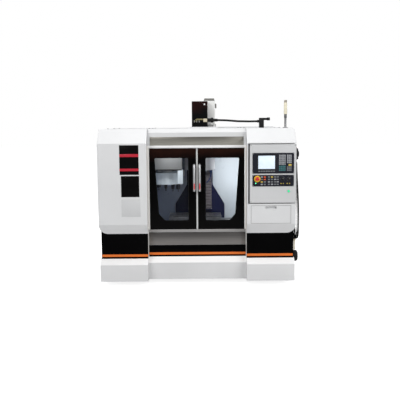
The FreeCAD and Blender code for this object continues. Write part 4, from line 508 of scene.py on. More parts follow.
KEY_PALE = Finish("key_pale", (0.34, 0.35, 0.37), 0.45, drift=0.04, texture=0.1, texture_size=900)
KEY_TEAL = Finish("key_teal", (0.035, 0.15, 0.16), 0.45, drift=0.04)
KEY_YELLOW = Finish("key_yellow", (0.62, 0.46, 0.08), 0.4, drift=0.04)
KEY_ORANGE = Finish("key_orange", (0.80, 0.10, 0.02), 0.4, drift=0.04)
BLUE = Finish("hose_blue", (0.010, 0.035, 0.13), 0.42, drift=0.05, texture=0.1)
GLASS = Clear("pane", (0.70, 0.75, 0.78), 0.04, drift=0.03, texture=0.0, opaque=0.004, shine=0.07)
BOWL = Clear("bowl_clear", (0.72, 0.62, 0.42), 0.12, drift=0.03, texture=0.0, opaque=0.55)
BLACK_PLATE = Finish("plate_black", (0.0032, 0.0028, 0.0030), 0.25, drift=0.2, texture=0.02, shine=0.05)
RED_BAR = Finish("bar_red", (0.50, 0.008, 0.028), 0.35, drift=0.03, texture=0.02)
# painted shade: the header strip darkens towards its top
HEADER_BRUSHED = Brushed("brushed_header", (0.46, 0.44, 0.39), 0.34, 0.7, grain=Grain.ALONG_X, texture=0.12,
                         texture_size=700, depth=0.0002, dark=0.45, dark_z=1.474, pale_z=1.395)
# painted shade: the sill band darkens towards its top
SILL_BRUSHED = Brushed("brushed_sill", (0.29, 0.275, 0.265), 0.30, 0.85, grain=Grain.ALONG_X, texture=0.12,
                       texture_size=700, depth=0.0002, dark=0.42, dark_z=0.520, pale_z=0.400)
SCREEN = Glowing("screen_lit", (0.70, 0.80, 0.92), 0.15, drift=0.05, drift_size=22, glow=0.32)
# painted shade darkens the conduit between its ribs
CONDUIT = Ribbed("conduit_black", (0.008, 0.008, 0.008), 0.40, texture=0.05, index=0, pitch=0.005,
                 rib_depth=0.0012, shine=0.25)
CLOTH = Finish("bellows_grey", (0.15, 0.135, 0.145), 0.6, drift=0.12, drift_size=9, texture=0.3,
               texture_size=1500, shine=0.3)
# painted shade darkens the screw threads between their ribs
THREADS = [Ribbed(f"thread_{name}", (0.60, 0.60, 0.61), 0.24, 1.0, index=index, pitch=0.010, rib_depth=0.0018)
           for index, name in enumerate("xyz")]
LAMP = Glowing("lamp_white", (0.95, 0.97, 1.0), 0.3, glow=1.2)
DRUM_WHITE = Finish("drum_blue_white", (0.80, 0.90, 0.97), 0.36, drift=0.03, texture=0.10, texture_size=200,
                    coat=0.2)
DISC = Finish("disc_grey", (0.50, 0.51, 0.52), 0.30, 0.9, drift=0.06, texture=0.06, texture_size=700)


# ------------------------------------------------------------------ mesh helpers
def baked(name: str, mesh: Mesh) -> bpy.types.Mesh:
    """Turn a mesh that is being built into mesh data.

    Args:
        name: the data's name.
        mesh: its faces, which this frees.

    Returns:
        The data.
    """
    data = bpy.data.meshes.new(name)
    mesh.to_mesh(data)
    mesh.free()
    return data


def placed(name: str, data: bpy.types.ID) -> bpy.types.Object:
    """Put data into the scene as an object.

    Args:
        name: the object's name.
        data: a mesh, curve, lamp or camera.

    Returns:
        The new object.
    """
    made = bpy.data.objects.new(name, data)
    bpy.context.collection.objects.link(made)
    return made


def wear(data: bpy.types.Mesh, finish: Finish, angle: float) -> None:
    """Give mesh data a finish and shade its flats as one.

    Args:
        data: the mesh data.
        finish: its finish.
        angle: faces that meet under this angle, in radians, shade as one.
    """
    data.materials.clear()
    data.materials.append(finish.material())
    for polygon in data.polygons:
        polygon.use_smooth = True
    data.set_sharp_from_angle(angle=angle)


def piece(name: str, mesh: Mesh, finish: Finish, body: str,
          smooth: float = 0.6) -> bpy.types.Object:
    """Make an object of a mesh, dress it and hang it on a body.

    Args:
        name: the piece's name.
        mesh: its faces, which this frees.
        finish: its finish.
        body: the body that it moves with.
        smooth: faces that meet under this angle, in radians, shade as one.

    Returns:
        The new object.
    """
    mesh.normal_update()
    made = placed(name, baked(name, mesh))
    wear(made.data, finish, smooth)
    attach(made, body)
    LOG.info("%s: %d faces", name, len(made.data.polygons))
    return made


def stand_in(node: str, mesh: Mesh, finish: Finish, body: str,
             smooth: float = 0.6) -> bpy.types.Object:
    """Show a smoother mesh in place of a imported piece.

    Args:
        node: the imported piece.
        mesh: its smoother form, which this frees.
        finish: its finish.
        body: its body.
        smooth: faces that meet under this angle, in radians, shade as one.

    Returns:
        The new object.
    """
    made = piece(f"{node}_smooth", mesh, finish, body, smooth)
    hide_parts(node)
    return made


def dress(finish: Finish, *nodes: str) -> None:
    """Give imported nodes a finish.

    Args:
        finish: the finish.
        nodes: their names.
    """
    for name in nodes:
        wear(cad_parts[name].data, finish, FLAT_ANGLE)
        LOG.info("%s wears %s", name, finish.name)


def slab(low: Point, high: Point, bevel: float = 0.001, steps: int = 2,
         into: Mesh | None = None) -> Mesh:
    """Block between two corners with eased edges.

    Args:
        low: lowest corner.
        high: highest corner.
        bevel: width of the eased edges.
        steps: faces across an eased edge.
        into: a mesh to add it to.

    Returns:
        The mesh.
    """
    mesh = bmesh.new()
    bmesh.ops.create_cube(mesh, size=1.0)
    size = [max(b - a, 1e-5) for a, b in zip(low, high)]
    middle = [(a + b) / 2 for a, b in zip(low, high)]
    for vertex in mesh.verts:
        vertex.co = Vector([c * s + m for c, s, m in zip(vertex.co, size, middle)])
    width = min(bevel, min(size) * 0.45)
    if width > 0:
        bmesh.ops.bevel(mesh, geom=mesh.edges[:], offset=width, segments=steps, affect="EDGES", profile=0.5)
    return merged(mesh, into)


def merged(mesh: Mesh, into: Mesh | None) -> Mesh:
    """Add one mesh to another, or hand it back where there is no other.

    Args:
        mesh: what to add, freed if it is added.
        into: what it joins, or None.

    Returns:
        The mesh that holds both.
    """
    if into is None:
        return mesh
    data = baked("scratch", mesh)
    into.from_mesh(data)
    bpy.data.meshes.remove(data)
    return into


def turned(profile: Sequence[Pair], centre: Point, axis: Point, sides: int = 32,
           into: Mesh | None = None, lobes: int = 0, swing: float = 0.1) -> Mesh:
    """Turn a profile about an axis.

    Args:
        profile: radius and distance along the axis, from one end to the other.
        centre: where the distance is 0.
        axis: its direction.
        sides: facets round.
        into: a mesh to add it to.
        lobes: grip flutes round it.
        swing: share of the radius that a flute takes away.

    Returns:
        The mesh.
    """
    mesh = bmesh.new()
    turn = Vector(UP).rotation_difference(Vector(axis)).to_matrix()
    rings = []
    for radius, along in profile:
        count = 1 if radius < 1e-6 else sides
        ring = []
        for step in range(count):
            angle = 2 * math.pi * step / sides
            drawn = radius * (1 - swing * (0.5 - 0.5 * math.cos(lobes * angle))) if lobes else radius
            point = Vector((drawn * math.cos(angle), drawn * math.sin(angle), along))
            ring.append(mesh.verts.new(turn @ point + Vector(centre)))
        rings.append(ring)
    for low, high in zip(rings, rings[1:]):
        for step in range(sides):
            after = (step + 1) % sides
            corners = (low[step % len(low)], low[after % len(low)], high[after % len(high)],
                       high[step % len(high)])
            unique = list(dict.fromkeys(corners))
            if len(unique) > 2:
                mesh.faces.new(unique)
    for ring, flip in ((rings[0], True), (rings[-1], False)):
        if len(ring) > 2:
            mesh.faces.new(ring[::-1] if flip else ring)
    return merged(mesh, into)


def swept(points: Sequence[Point], radius: float, sides: int = 10,
          into: Mesh | None = None, waist: float = 1.0) -> Mesh:
    """Tube along points, with closed ends and no twist.

    Args:
        points: its centreline.
        radius: its radius.
        sides: facets round.
        into: a mesh to add it to.
        waist: share of the radius at every other point, for a ribbed tube.

    Returns:
        The mesh.
    """
    mesh = bmesh.new()
    path = [Vector(p) for p in points]
    ways = [(b - a).normalized() for a, b in zip(path, path[1:])]
    side = ways[0].orthogonal().normalized()
    rings = []
    for index, point in enumerate(path):
        before, after = ways[max(index - 1, 0)], ways[min(index, len(ways) - 1)]
        way = (before + after).normalized()
        side = (side - way * side.dot(way)).normalized()
        other = way.cross(side)
        reach = radius * (waist if index % 2 else 1.0)
        rings.append([mesh.verts.new(point + reach * (side * math.cos(a) + other * math.sin(a)))
                      for a in (2 * math.pi * k / sides for k in range(sides))])
    for low, high in zip(rings, rings[1:]):
        for k in range(sides):
            mesh.faces.new((low[k], low[(k + 1) % sides], high[(k + 1) % sides], high[k]))
    mesh.faces.new(rings[0][::-1])
    mesh.faces.new(rings[-1])
    return merged(mesh, into)


def framed(outer: Sequence[Pair], inner: Sequence[Pair], y0: float, y1: float,
           into: Mesh | None = None) -> Mesh:
    """Frame between two outlines of as many points, run along Y.

    Args:
        outer: (x, z) points of the outside.
        inner: (x, z) points of the inside.
        y0: front.
        y1: back.
        into: a mesh to add it to.

    Returns:
        The mesh.
    """
    mesh = bmesh.new()
    rows = [[mesh.verts.new((x, y, z)) for x, z in line] for line, y in
            ((outer, y0), (inner, y0), (inner, y1), (outer, y1))]
    count = len(outer)
    for row, following in zip(rows, rows[1:] + rows[:1]):
        for k in range(count):
            mesh.faces.new((row[k], row[(k + 1) % count], following[(k + 1) % count], following[k]))
    bmesh.ops.recalc_face_normals(mesh, faces=mesh.faces[:])
    return merged(mesh, into)


def screws(places: Iterable[Point], axis: Point, radius: float = 0.005, height: float = 0.003,
           into: Mesh | None = None) -> Mesh:
    """Socket head screws at several places.

    Args:
        places: where each head stands on its surface.
        axis: the way the heads stand out.
        radius: head radius.
        height: head height.
        into: a mesh to add them to.

    Returns:
        The mesh.
    """
    mesh = into or bmesh.new()
    profile = [(radius, -0.0005), (radius, height * 0.75), (radius * 0.88, height), (radius * 0.5, height),
               (radius * 0.46, height * 0.35), (0.0, height * 0.35)]
    for place in places:
        turned(profile, place, axis, 14, mesh)
    return mesh


def arc(centre: Pair, radius: float, start: float, end: float, steps: int = 6) -> list[Pair]:
    """Points along an arc in a plane.

    Args:
        centre: its centre.
        radius: its radius.
        start: first angle in degrees.
        end: last angle.
        steps: chords along it.

    Returns:
        Its points.
    """
    angles = [math.radians(start + (end - start) * k / steps) for k in range(steps + 1)]
    return [(centre[0] + radius * math.cos(a), centre[1] + radius * math.sin(a)) for a in angles]


def rectangle(low: Pair, high: Pair) -> list[Pair]:
    """Corners of an upright rectangle, from the lower left one round."""
    return [low, (high[0], low[1]), high, (low[0], high[1])]


def carved(mesh: Mesh, tool: Mesh) -> Mesh:
    """Cut one mesh out of another.

    Args:
        mesh: what is cut, freed.
        tool: what is taken away, freed.

    Returns:
        What is left.
    """
    pair = [placed(name, baked(name, source)) for name, source in (("carved", mesh), ("cutter", tool))]
    cut = pair[0].modifiers.new("cut", "BOOLEAN")
    cut.object, cut.solver = pair[1], "EXACT"
    left = bpy.data.meshes.new_from_object(pair[0].evaluated_get(bpy.context.evaluated_depsgraph_get()))
    result = bmesh.new()
    result.from_mesh(left)
    bpy.data.meshes.remove(left)
    for used in pair:
        data = used.data
        bpy.data.objects.remove(used)
        bpy.data.meshes.remove(data)
    return result


# ------------------------------------------------------------------ places shared with the model, in metres
SEAM_X = -0.030
FRONT_Y = -0.850
BAY_Y = -0.700
SPINDLE_Y = -0.150
LEFT_X, RIGHT_X = -1.000, 0.940
BAY_LEFT, BAY_RIGHT = -0.520, 0.460
SUNK = 0.0001


@dataclass
class Studio:
    """Floor, lights and camera.

    Args:
        eye: where the camera stands.
        pitch: how far it looks down, in degrees.
        roll: its roll in degrees.
        lens: focal length in millimetres.
        shift: shift of its frame.
        floor: colour of the floor.
        floor_size: half its width.
        floor_glow: what brings the lit floor up to white where the camera looks at it.
        sky: light of the surroundings.
        sky_tone: their colour.
        lamps: name, place, aim, width in metres, power in watts and beam in degrees of each lamp.
    """

    eye: Point = (-0.016, -7.074, 1.592)
    pitch: float = 6.7
    roll: float = -0.42
    lens: float = 57.6
    shift: float = 0.00375
    floor: Colour = (0.62, 0.62, 0.62)
    floor_size: float = 40.0
    floor_glow: float = 0.84
    sky: float = 0.38
    sky_tone: Colour = (0.98, 0.985, 1.0)
    lamps: tuple[tuple[str, Point, Point, float, float, float], ...] = (
        ("key", (-2.6, -4.8, 4.2), (0, -0.4, 0.9), 2.6, 116, 180),
        ("fill", (3.4, -4.4, 2.6), (0.2, -0.4, 0.9), 2.6, 76, 180),
        ("top", (0.2, -0.6, 5.4), (0, -0.2, 1.0), 3.0, 98, 180),
        ("rear_left", (-3.6, 3.6, 3.2), (0, 0.4, 0.9), 2.4, 70, 180),
        ("rear_right", (3.6, 3.2, 3.0), (0, 0.4, 0.9), 2.4, 60, 180),
        ("work_light", (0.41, -0.56, 1.41), (0.40, 0.22, 0.92), 0.12, 1.35, 70),
        ("guard_light", (-0.33, -0.60, 1.42), (-0.24, -0.40, 1.16), 0.10, 0.80, 140))

    def build_camera(self) -> None:
        """Stand the camera where the photograph was taken."""
        data = bpy.data.cameras.new("camera")
        data.lens, data.sensor_width, data.shift_x = self.lens, 36.0, self.shift
        camera = placed("camera", data)
        camera.matrix_world = (Matrix.Translation(self.eye)
                               @ Matrix.Rotation(math.radians(90 - self.pitch), 4, "X")
                               @ Matrix.Rotation(math.radians(self.roll), 4, "Z"))
        bpy.context.scene.camera = camera

    def build_floor(self) -> None:
        """Lay a pale floor that turns white where the camera looks at it."""
        mesh = bmesh.new()
        bmesh.ops.create_grid(mesh, x_segments=2, y_segments=2, size=self.floor_size)
        floor = placed("floor", baked("floor", mesh))
        floor.location.z = -0.0005
        nodes = Nodes(bpy.data.materials.new("floor_white"))
        nodes.feed(nodes.shader, {
            "Base Color": (*self.floor, 1.0), "Roughness": 0.7, "Emission Color": WHITE_LIGHT,
            "Emission Strength": nodes.math("MULTIPLY", nodes.camera_ray, self.floor_glow)})
        floor.data.materials.append(nodes.holder)

    def build_world(self) -> None:
        """Even pale surroundings, white to the camera."""
        world = bpy.data.worlds.new("surroundings")
        bpy.context.scene.world = world
        nodes = Nodes(world)
        tone = nodes.blend(nodes.camera_ray, (*self.sky_tone, 1.0), WHITE_LIGHT)
        light = nodes.spread(nodes.camera_ray, self.sky, 1.0, (0.0, 1.0))
        nodes.feed(nodes.tree.nodes["Background"], {"Color": tone, "Strength": light})

    def build_lamps(self) -> None:
        """Hang the soft boxes, the lamp in the work area and the one before the guard."""
        for name, place, aim, size, power, beam in self.lamps:
            data = bpy.data.lights.new(name, "AREA")
            data.shape, data.size, data.energy, data.spread = "SQUARE", size, power, math.radians(beam)
            lamp = placed(name, data)
            lamp.location = place
            lamp.rotation_euler = (Vector(aim) - Vector(place)).to_track_quat("-Z", "Y").to_euler()

    def build(self) -> None:
        """Set up the whole studio."""
        self.build_camera()
        self.build_floor()
        self.build_world()
        self.build_lamps()
        bpy.context.scene.view_settings.view_transform = "Standard"


@dataclass
class Enclosure:
    """Cabinets, header, sill, skirts, tray and panels.

    Args:
        stripe: foot and head of the orange stripe.
        skirt_back: how far the cabinets' skirts stand behind the front.
        skirt_inset: how far they stand inside the cabinets' sides.
        strip: foot and head of the header's brushed strip.
        strip_half: half its width.
        band: foot and head of the sill's brushed band.
        sill_lip: foot and head of the sill's lip.
        header_lip: foot and head of the header's lip.
        band_half: half the width of the band and of both lips.
        jamb: foot and head of the plates beside the doors.
        return_foot: foot of the plates beside the sill.
        skin: thickness of those plates.
        flange_from: distance from the seam to the flanges beside the doors.
        plate_x: left and right of the left cabinet's plates.
        black_plate: foot and head of the black plate.
        dark_plate: foot and head of the dark plate.
        pale_plate: foot and head of the pale plate.
        upper_bar: foot and head of the upper red bar.
        lower_bar: foot and head of the lower red bar.
        side_screws: places along Y and Z of the side panels' screws.
        rear_screws: places along X and Z of the rear panel's screws.
        roof_screws: places along X and Y of the roof's screws.
        rear_y: outer face of the rear panel.
        roof_z: top of the roof panel.
    """

    stripe: Pair = (0.289, 0.313)
    skirt_back: float = 0.054
    skirt_inset: float = 0.020
    strip: Pair = (1.391, 1.474)
    strip_half: float = 0.466
    band: Pair = (0.389, 0.520)
    sill_lip: Pair = (0.5225, 0.5465)
    header_lip: Pair = (1.3705, 1.3895)
    band_half: float = 0.486
    jamb: Pair = (0.556, 1.388)
    return_foot: float = 0.268
    skin: float = 0.0008
    flange_from: float = 0.4752
    plate_x: Pair = (-0.783, -0.596)
    black_plate: Pair = (1.112, 1.400)
    dark_plate: Pair = (0.894, 1.100)
    pale_plate: Pair = (0.700, 0.870)
    upper_bar: Pair = (1.286, 1.314)
    lower_bar: Pair = (1.148, 1.173)
    side_screws: tuple[Point, Point] = ((-0.415, 0.075, 0.58), (0.66, 1.10, 1.52))
    rear_screws: tuple[Point, tuple[float, ...]] = ((-0.96, -0.45, 0.90), (0.33, 0.75, 1.15, 1.52))
    roof_screws: tuple[tuple[float, ...], Point] = ((-0.95, -0.52, 0.46, 0.89), (-0.40, 0.10, 0.57))
    rear_y: float = 0.603
    roof_z: float = 1.555

    def dress_sheets(self) -> None:
        """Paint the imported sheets."""
        dress(RIM_WHITE, "tray_rim")
        dress(WHITE, "left_cabinet", "right_cabinet", "front_header", "door_sill", "left_side_panel",
              "right_side_panel", "roof_panel", "rear_panel")
        dress(TRAY, "coolant_tray")
        dress(SKIRT, "plinth_skirts")
        dress(ZINC, "levelling_feet")

    def build_stripes(self) -> None:
        """Orange stripe round the skirts: one length in the bay and one on each cabinet."""
        low, top = self.stripe
        mesh = slab((BAY_LEFT + 0.0005, BAY_Y - 0.001, low), (BAY_RIGHT - 0.0005, BAY_Y - SUNK, top), 0.0002)
        front = FRONT_Y + self.skirt_back
        for left, right in ((LEFT_X + self.skirt_inset, BAY_LEFT - 0.001),
                            (BAY_RIGHT + 0.001, RIGHT_X - self.skirt_inset)):
            slab((left, front - 0.001, low), (right, front - SUNK, top), 0.0002, 1, mesh)
        piece("orange_stripes", mesh, ORANGE, "frame")

    def build_bar(self, name: str, half: float, rise: Pair, proud: Pair, finish: Finish) -> None:
        """Lay a flat bar across the bay, centred on the seam.

        Args:
            name: the piece's name.
            half: half its width.
            rise: its foot and head.
            proud: how far it stands out, and its eased edge.
            finish: its finish.
        """
        low, high = (SEAM_X - half, BAY_Y - proud[0], rise[0]), (SEAM_X + half, BAY_Y - SUNK, rise[1])
        piece(name, slab(low, high, proud[1]), finish, "frame")

    def build_jambs(self) -> None:
        """Thin plates on the cabinets' inner sides and flanges beside the doors."""
        jambs = bmesh.new()
        foot, head = self.jamb
        for x in (BAY_LEFT, BAY_RIGHT - self.skin):
            slab((x, FRONT_Y + 0.003, foot), (x + self.skin, BAY_Y - 0.001, head), 0.0, 1, jambs)
            slab((x, FRONT_Y + self.skirt_back + 0.004, self.return_foot),
                 (x + self.skin, BAY_Y - 0.0035, foot - 0.001), 0.0, 1, jambs)
        for left, right in ((BAY_LEFT - 0.001, SEAM_X - self.flange_from),
                            (SEAM_X + self.flange_from, BAY_RIGHT + 0.001)):
            slab((left, BAY_Y - 0.0012, foot - 0.008), (right, BAY_Y + 0.0004, head), 0.0, 1, jambs)
        piece("jamb_plates", jambs, JAMB, "frame")

    def build_plates(self) -> None:
        """Plain plates on the left cabinet: black with two red bars, a dark one and a pale one."""
        x0, x1 = self.plate_x
        face = FRONT_Y - 0.0015
        for name, left, right, (low, top) in (("black_plate", x0, x1, self.black_plate),
                                              ("dark_plate", x0 + 0.012, x1 + 0.002, self.dark_plate)):
            plate = slab((left, face, low), (right, FRONT_Y - SUNK, top), 0.0005)
            piece(name, plate, BLACK_PLATE, "frame")
        bars = bmesh.new()
        for (low, top), steps in ((self.upper_bar, 2), (self.lower_bar, 1)):
            slab((x0, face - 0.0006, low), (x1, face + SUNK, top), 0.0002, steps, bars)
        piece("red_bars", bars, RED_BAR, "frame")
        low, top = self.pale_plate
        plate = slab((x0 + 0.012, face, low), (x1 + 0.010, FRONT_Y - SUNK, top), 0.0005)
        piece("pale_plate", plate, PALE, "frame")
        corners = [(x, face, z) for low, top in (self.black_plate, self.dark_plate)
                   for x in (x0 + 0.020, x1 - 0.008) for z in (low + 0.008, top - 0.008)]
        piece("plate_screws", screws(corners, FRONT, 0.0035, 0.0018), SCREW, "frame")

    def build_fasteners(self) -> None:
        """Screws of the side, rear and roof panels."""
        mesh = bmesh.new()
        across, up = self.side_screws
        for x, way in ((LEFT_X + 0.004, LEFT), (RIGHT_X, RIGHT)):
            screws([(x, y, z) for y in across for z in up], way, 0.008, 0.004, mesh)
        across, up = self.rear_screws
        screws([(x, self.rear_y, z) for x in across for z in up], REAR, 0.008, 0.004, mesh)
        across, along = self.roof_screws
        screws([(x, y, self.roof_z) for x in across for y in along], UP, 0.008, 0.004, mesh)
        piece("panel_screws", mesh, SCREW, "frame")

    def build(self) -> None:
        """Dress the enclosure and add its trim."""
        self.dress_sheets()
        self.build_stripes()
        self.build_bar("header_strip", self.strip_half, self.strip, (0.003, 0.001), HEADER_BRUSHED)
        self.build_bar("sill_band", self.band_half, self.band, (0.003, 0.001), SILL_BRUSHED)
        self.build_bar("sill_lip", self.band_half, self.sill_lip, (0.002, 0.0008), LIP_GREY)
        self.build_jambs()
        self.build_bar("header_lip", self.band_half, self.header_lip, (0.002, 0.0006), RIM_WHITE)
        self.build_plates()
        self.build_fasteners()


@dataclass
class Doors:
    """Sliding doors with panes, gaskets and handles.

    Args:
        inner: window's inner edge from the seam.
        outer_top: outer edge at the top.
        outer_low: outer edge lower down.
        top: head of the window.
        low: foot of the window.
        corner: cut at the lower outer corner.
        corner_radius: rounding of the corners.
        front: outer face of the doors.
        handle_offset: handles' distance from the seam.
        handle_low: foot of the handles.
        handle_top: head of the handles.
        handle_half: half their thickness.
        handle_reach: how far their axis stands in front of the doors.
        insert: foot and head of the red inserts.
        insert_steps: heights at which the inserts change their width.
    """

    inner: float = 0.083
    outer_top: float = 0.428
    outer_low: float = 0.388
    top: float = 1.268
    low: float = 0.631
    corner: float = 0.062
    corner_radius: float = 0.014
    front: float = -0.684
    handle_offset: float = 0.027
    handle_low: float = 0.924
    handle_top: float = 1.204
    handle_half: float = 0.012
    handle_reach: float = 0.052
    insert: Pair = (0.950, 1.015)
    insert_steps: tuple[float, ...] = (0.950, 0.953, 0.957, 0.9645, 1.008, 1.012, 1.015)

    def outline(self, side: int, grow: float) -> list[Pair]:
        """Window outline with rounded corners.

        Args:
            side: -1 for the left door, 1 for the right.
            grow: how far outside the window's edge it runs.

        Returns:
            Its (x, z) points.
        """
        cut_x, cut_z = self.outer_low - self.corner + 0.004, self.low + self.corner + 0.004
        raw = [(self.inner - grow, self.low - grow), (cut_x + grow * 0.5, self.low - grow),
               (self.outer_low + grow, cut_z - grow * 0.5), (self.outer_top + grow, self.top + grow),
               (self.inner - grow, self.top + grow)]
        reach = self.corner_radius + max(grow, 0.0)
        points = []
        for index, corner in enumerate(raw):
            before, here, after = Vector(raw[index - 1]), Vector(corner), Vector(raw[(index + 1) % len(raw)])
            start = here + (before - here).normalized() * reach
            end = here + (after - here).normalized() * reach
            for step in range(5):
                t = step / 4
                point = start * (1 - t) ** 2 + here * 2 * t * (1 - t) + end * t ** 2
                points.append((SEAM_X + side * point.x, point.y))
        return points

    def build_gaskets(self, side: int, body: str) -> None:
        """Rubber gaskets between pane and frame, outside and inside.

        Args:
            side: -1 or 1.
            body: the door's body.
        """
        for name, outer, inner, front, back in (("gasket", 0.0, -0.005, 0.005, 0.0078),
                                                ("inner_gasket", 0.007, -0.004, 0.0142, 0.0185)):
            ring = framed(self.outline(side, outer), self.outline(side, inner),
                          self.front + front, self.front + back)
            piece(f"{body}_{name}", ring, RUBBER, body)

    def build_handle(self, side: int, body: str) -> None:
        """Silver bar bent at both ends onto the door, with foot collars and a red insert near its foot.

        Args:
            side: -1 or 1.
            body: the door's body.
        """
        half = self.handle_half
        x, low, top = SEAM_X + side * self.handle_offset, self.handle_low + half, self.handle_top - half
        bend, reach = 2 * half, self.front - self.handle_reach
        path = [(self.front - 0.001, low), *arc((reach + bend, low + bend), bend, 270, 180),
                *arc((reach + bend, top - bend), bend, 180, 90), (self.front - 0.001, top)]
        mesh = swept([(x, y, z) for y, z in path], half * 0.98, 24)
        for z in (low, top):
            collar = ((half * 1.05, 0.0), (half * 1.05, 0.002), (half * 0.98, 0.003))
            turned(collar, (x, self.front, z), FRONT, 24, mesh)
        stand_in(f"{body.split('_')[0]}_handle", mesh, HANDLE, body)
        foot, head = self.insert
        insert = swept([(x, reach - 0.0006, z) for z in self.insert_steps], half * 0.80, 20)
        for vertex in insert.verts:
            share = min((vertex.co.z - foot) / 0.010, (head - vertex.co.z) / 0.006, 1.0)
            vertex.co.x = x + (vertex.co.x - x) * (0.35 + 0.65 * math.sqrt(max(share, 0.0)))
            vertex.co.y = reach + (vertex.co.y - reach) * 1.27
        piece(f"{body}_handle_insert", insert, RED, body)

    def build(self) -> None:
        """Dress both doors."""
        dress(GLOSS, "left_door", "right_door")
        dress(GLASS, "left_window", "right_window")
        dress(GREY_RUBBER, "door_seal")
        for side, body in ((-1, "left_door"), (1, "right_door")):
            self.build_gaskets(side, body)
            self.build_handle(side, body)


@dataclass(frozen=True)
class KeyField:
    """Even field of keys on the pendant.

    Args:
        name: the piece's name.
        low: lower left corner (x, z).
        high: upper right corner.
        count: columns and rows.
        finish: finish of the keys.
        gap: space between keys.
    """

    name: str
    low: Pair
    high: Pair
    count: tuple[int, int]
    finish: Finish
    gap: float = 0.003

    def build(self, face: float) -> None:
        """Make the keys.

        Args:
            face: Y of the surface that they stand on.
        """
        wide, tall = ((high - low - self.gap * (count - 1)) / count
                      for low, high, count in zip(self.low, self.high, self.count))
        mesh = bmesh.new()
        for column in range(self.count[0]):
            for row in range(self.count[1]):
                x, z = self.low[0] + column * (wide + self.gap), self.low[1] + row * (tall + self.gap)
                add_key(mesh, x, z, (wide, tall), face)
        piece(self.name, mesh, self.finish, "pendant")


def add_key(mesh: Mesh, x: float, z: float, size: Pair, face: float) -> None:
    """Add one key.

    Args:
        mesh: where to add it.
        x: left edge.
        z: foot.
        size: width and height.
        face: Y of the surface that it stands on.
    """
    slab((x, face - 0.0016, z), (x + size[0], face + 0.0004, z + size[1]), 0.0008, 2, mesh)


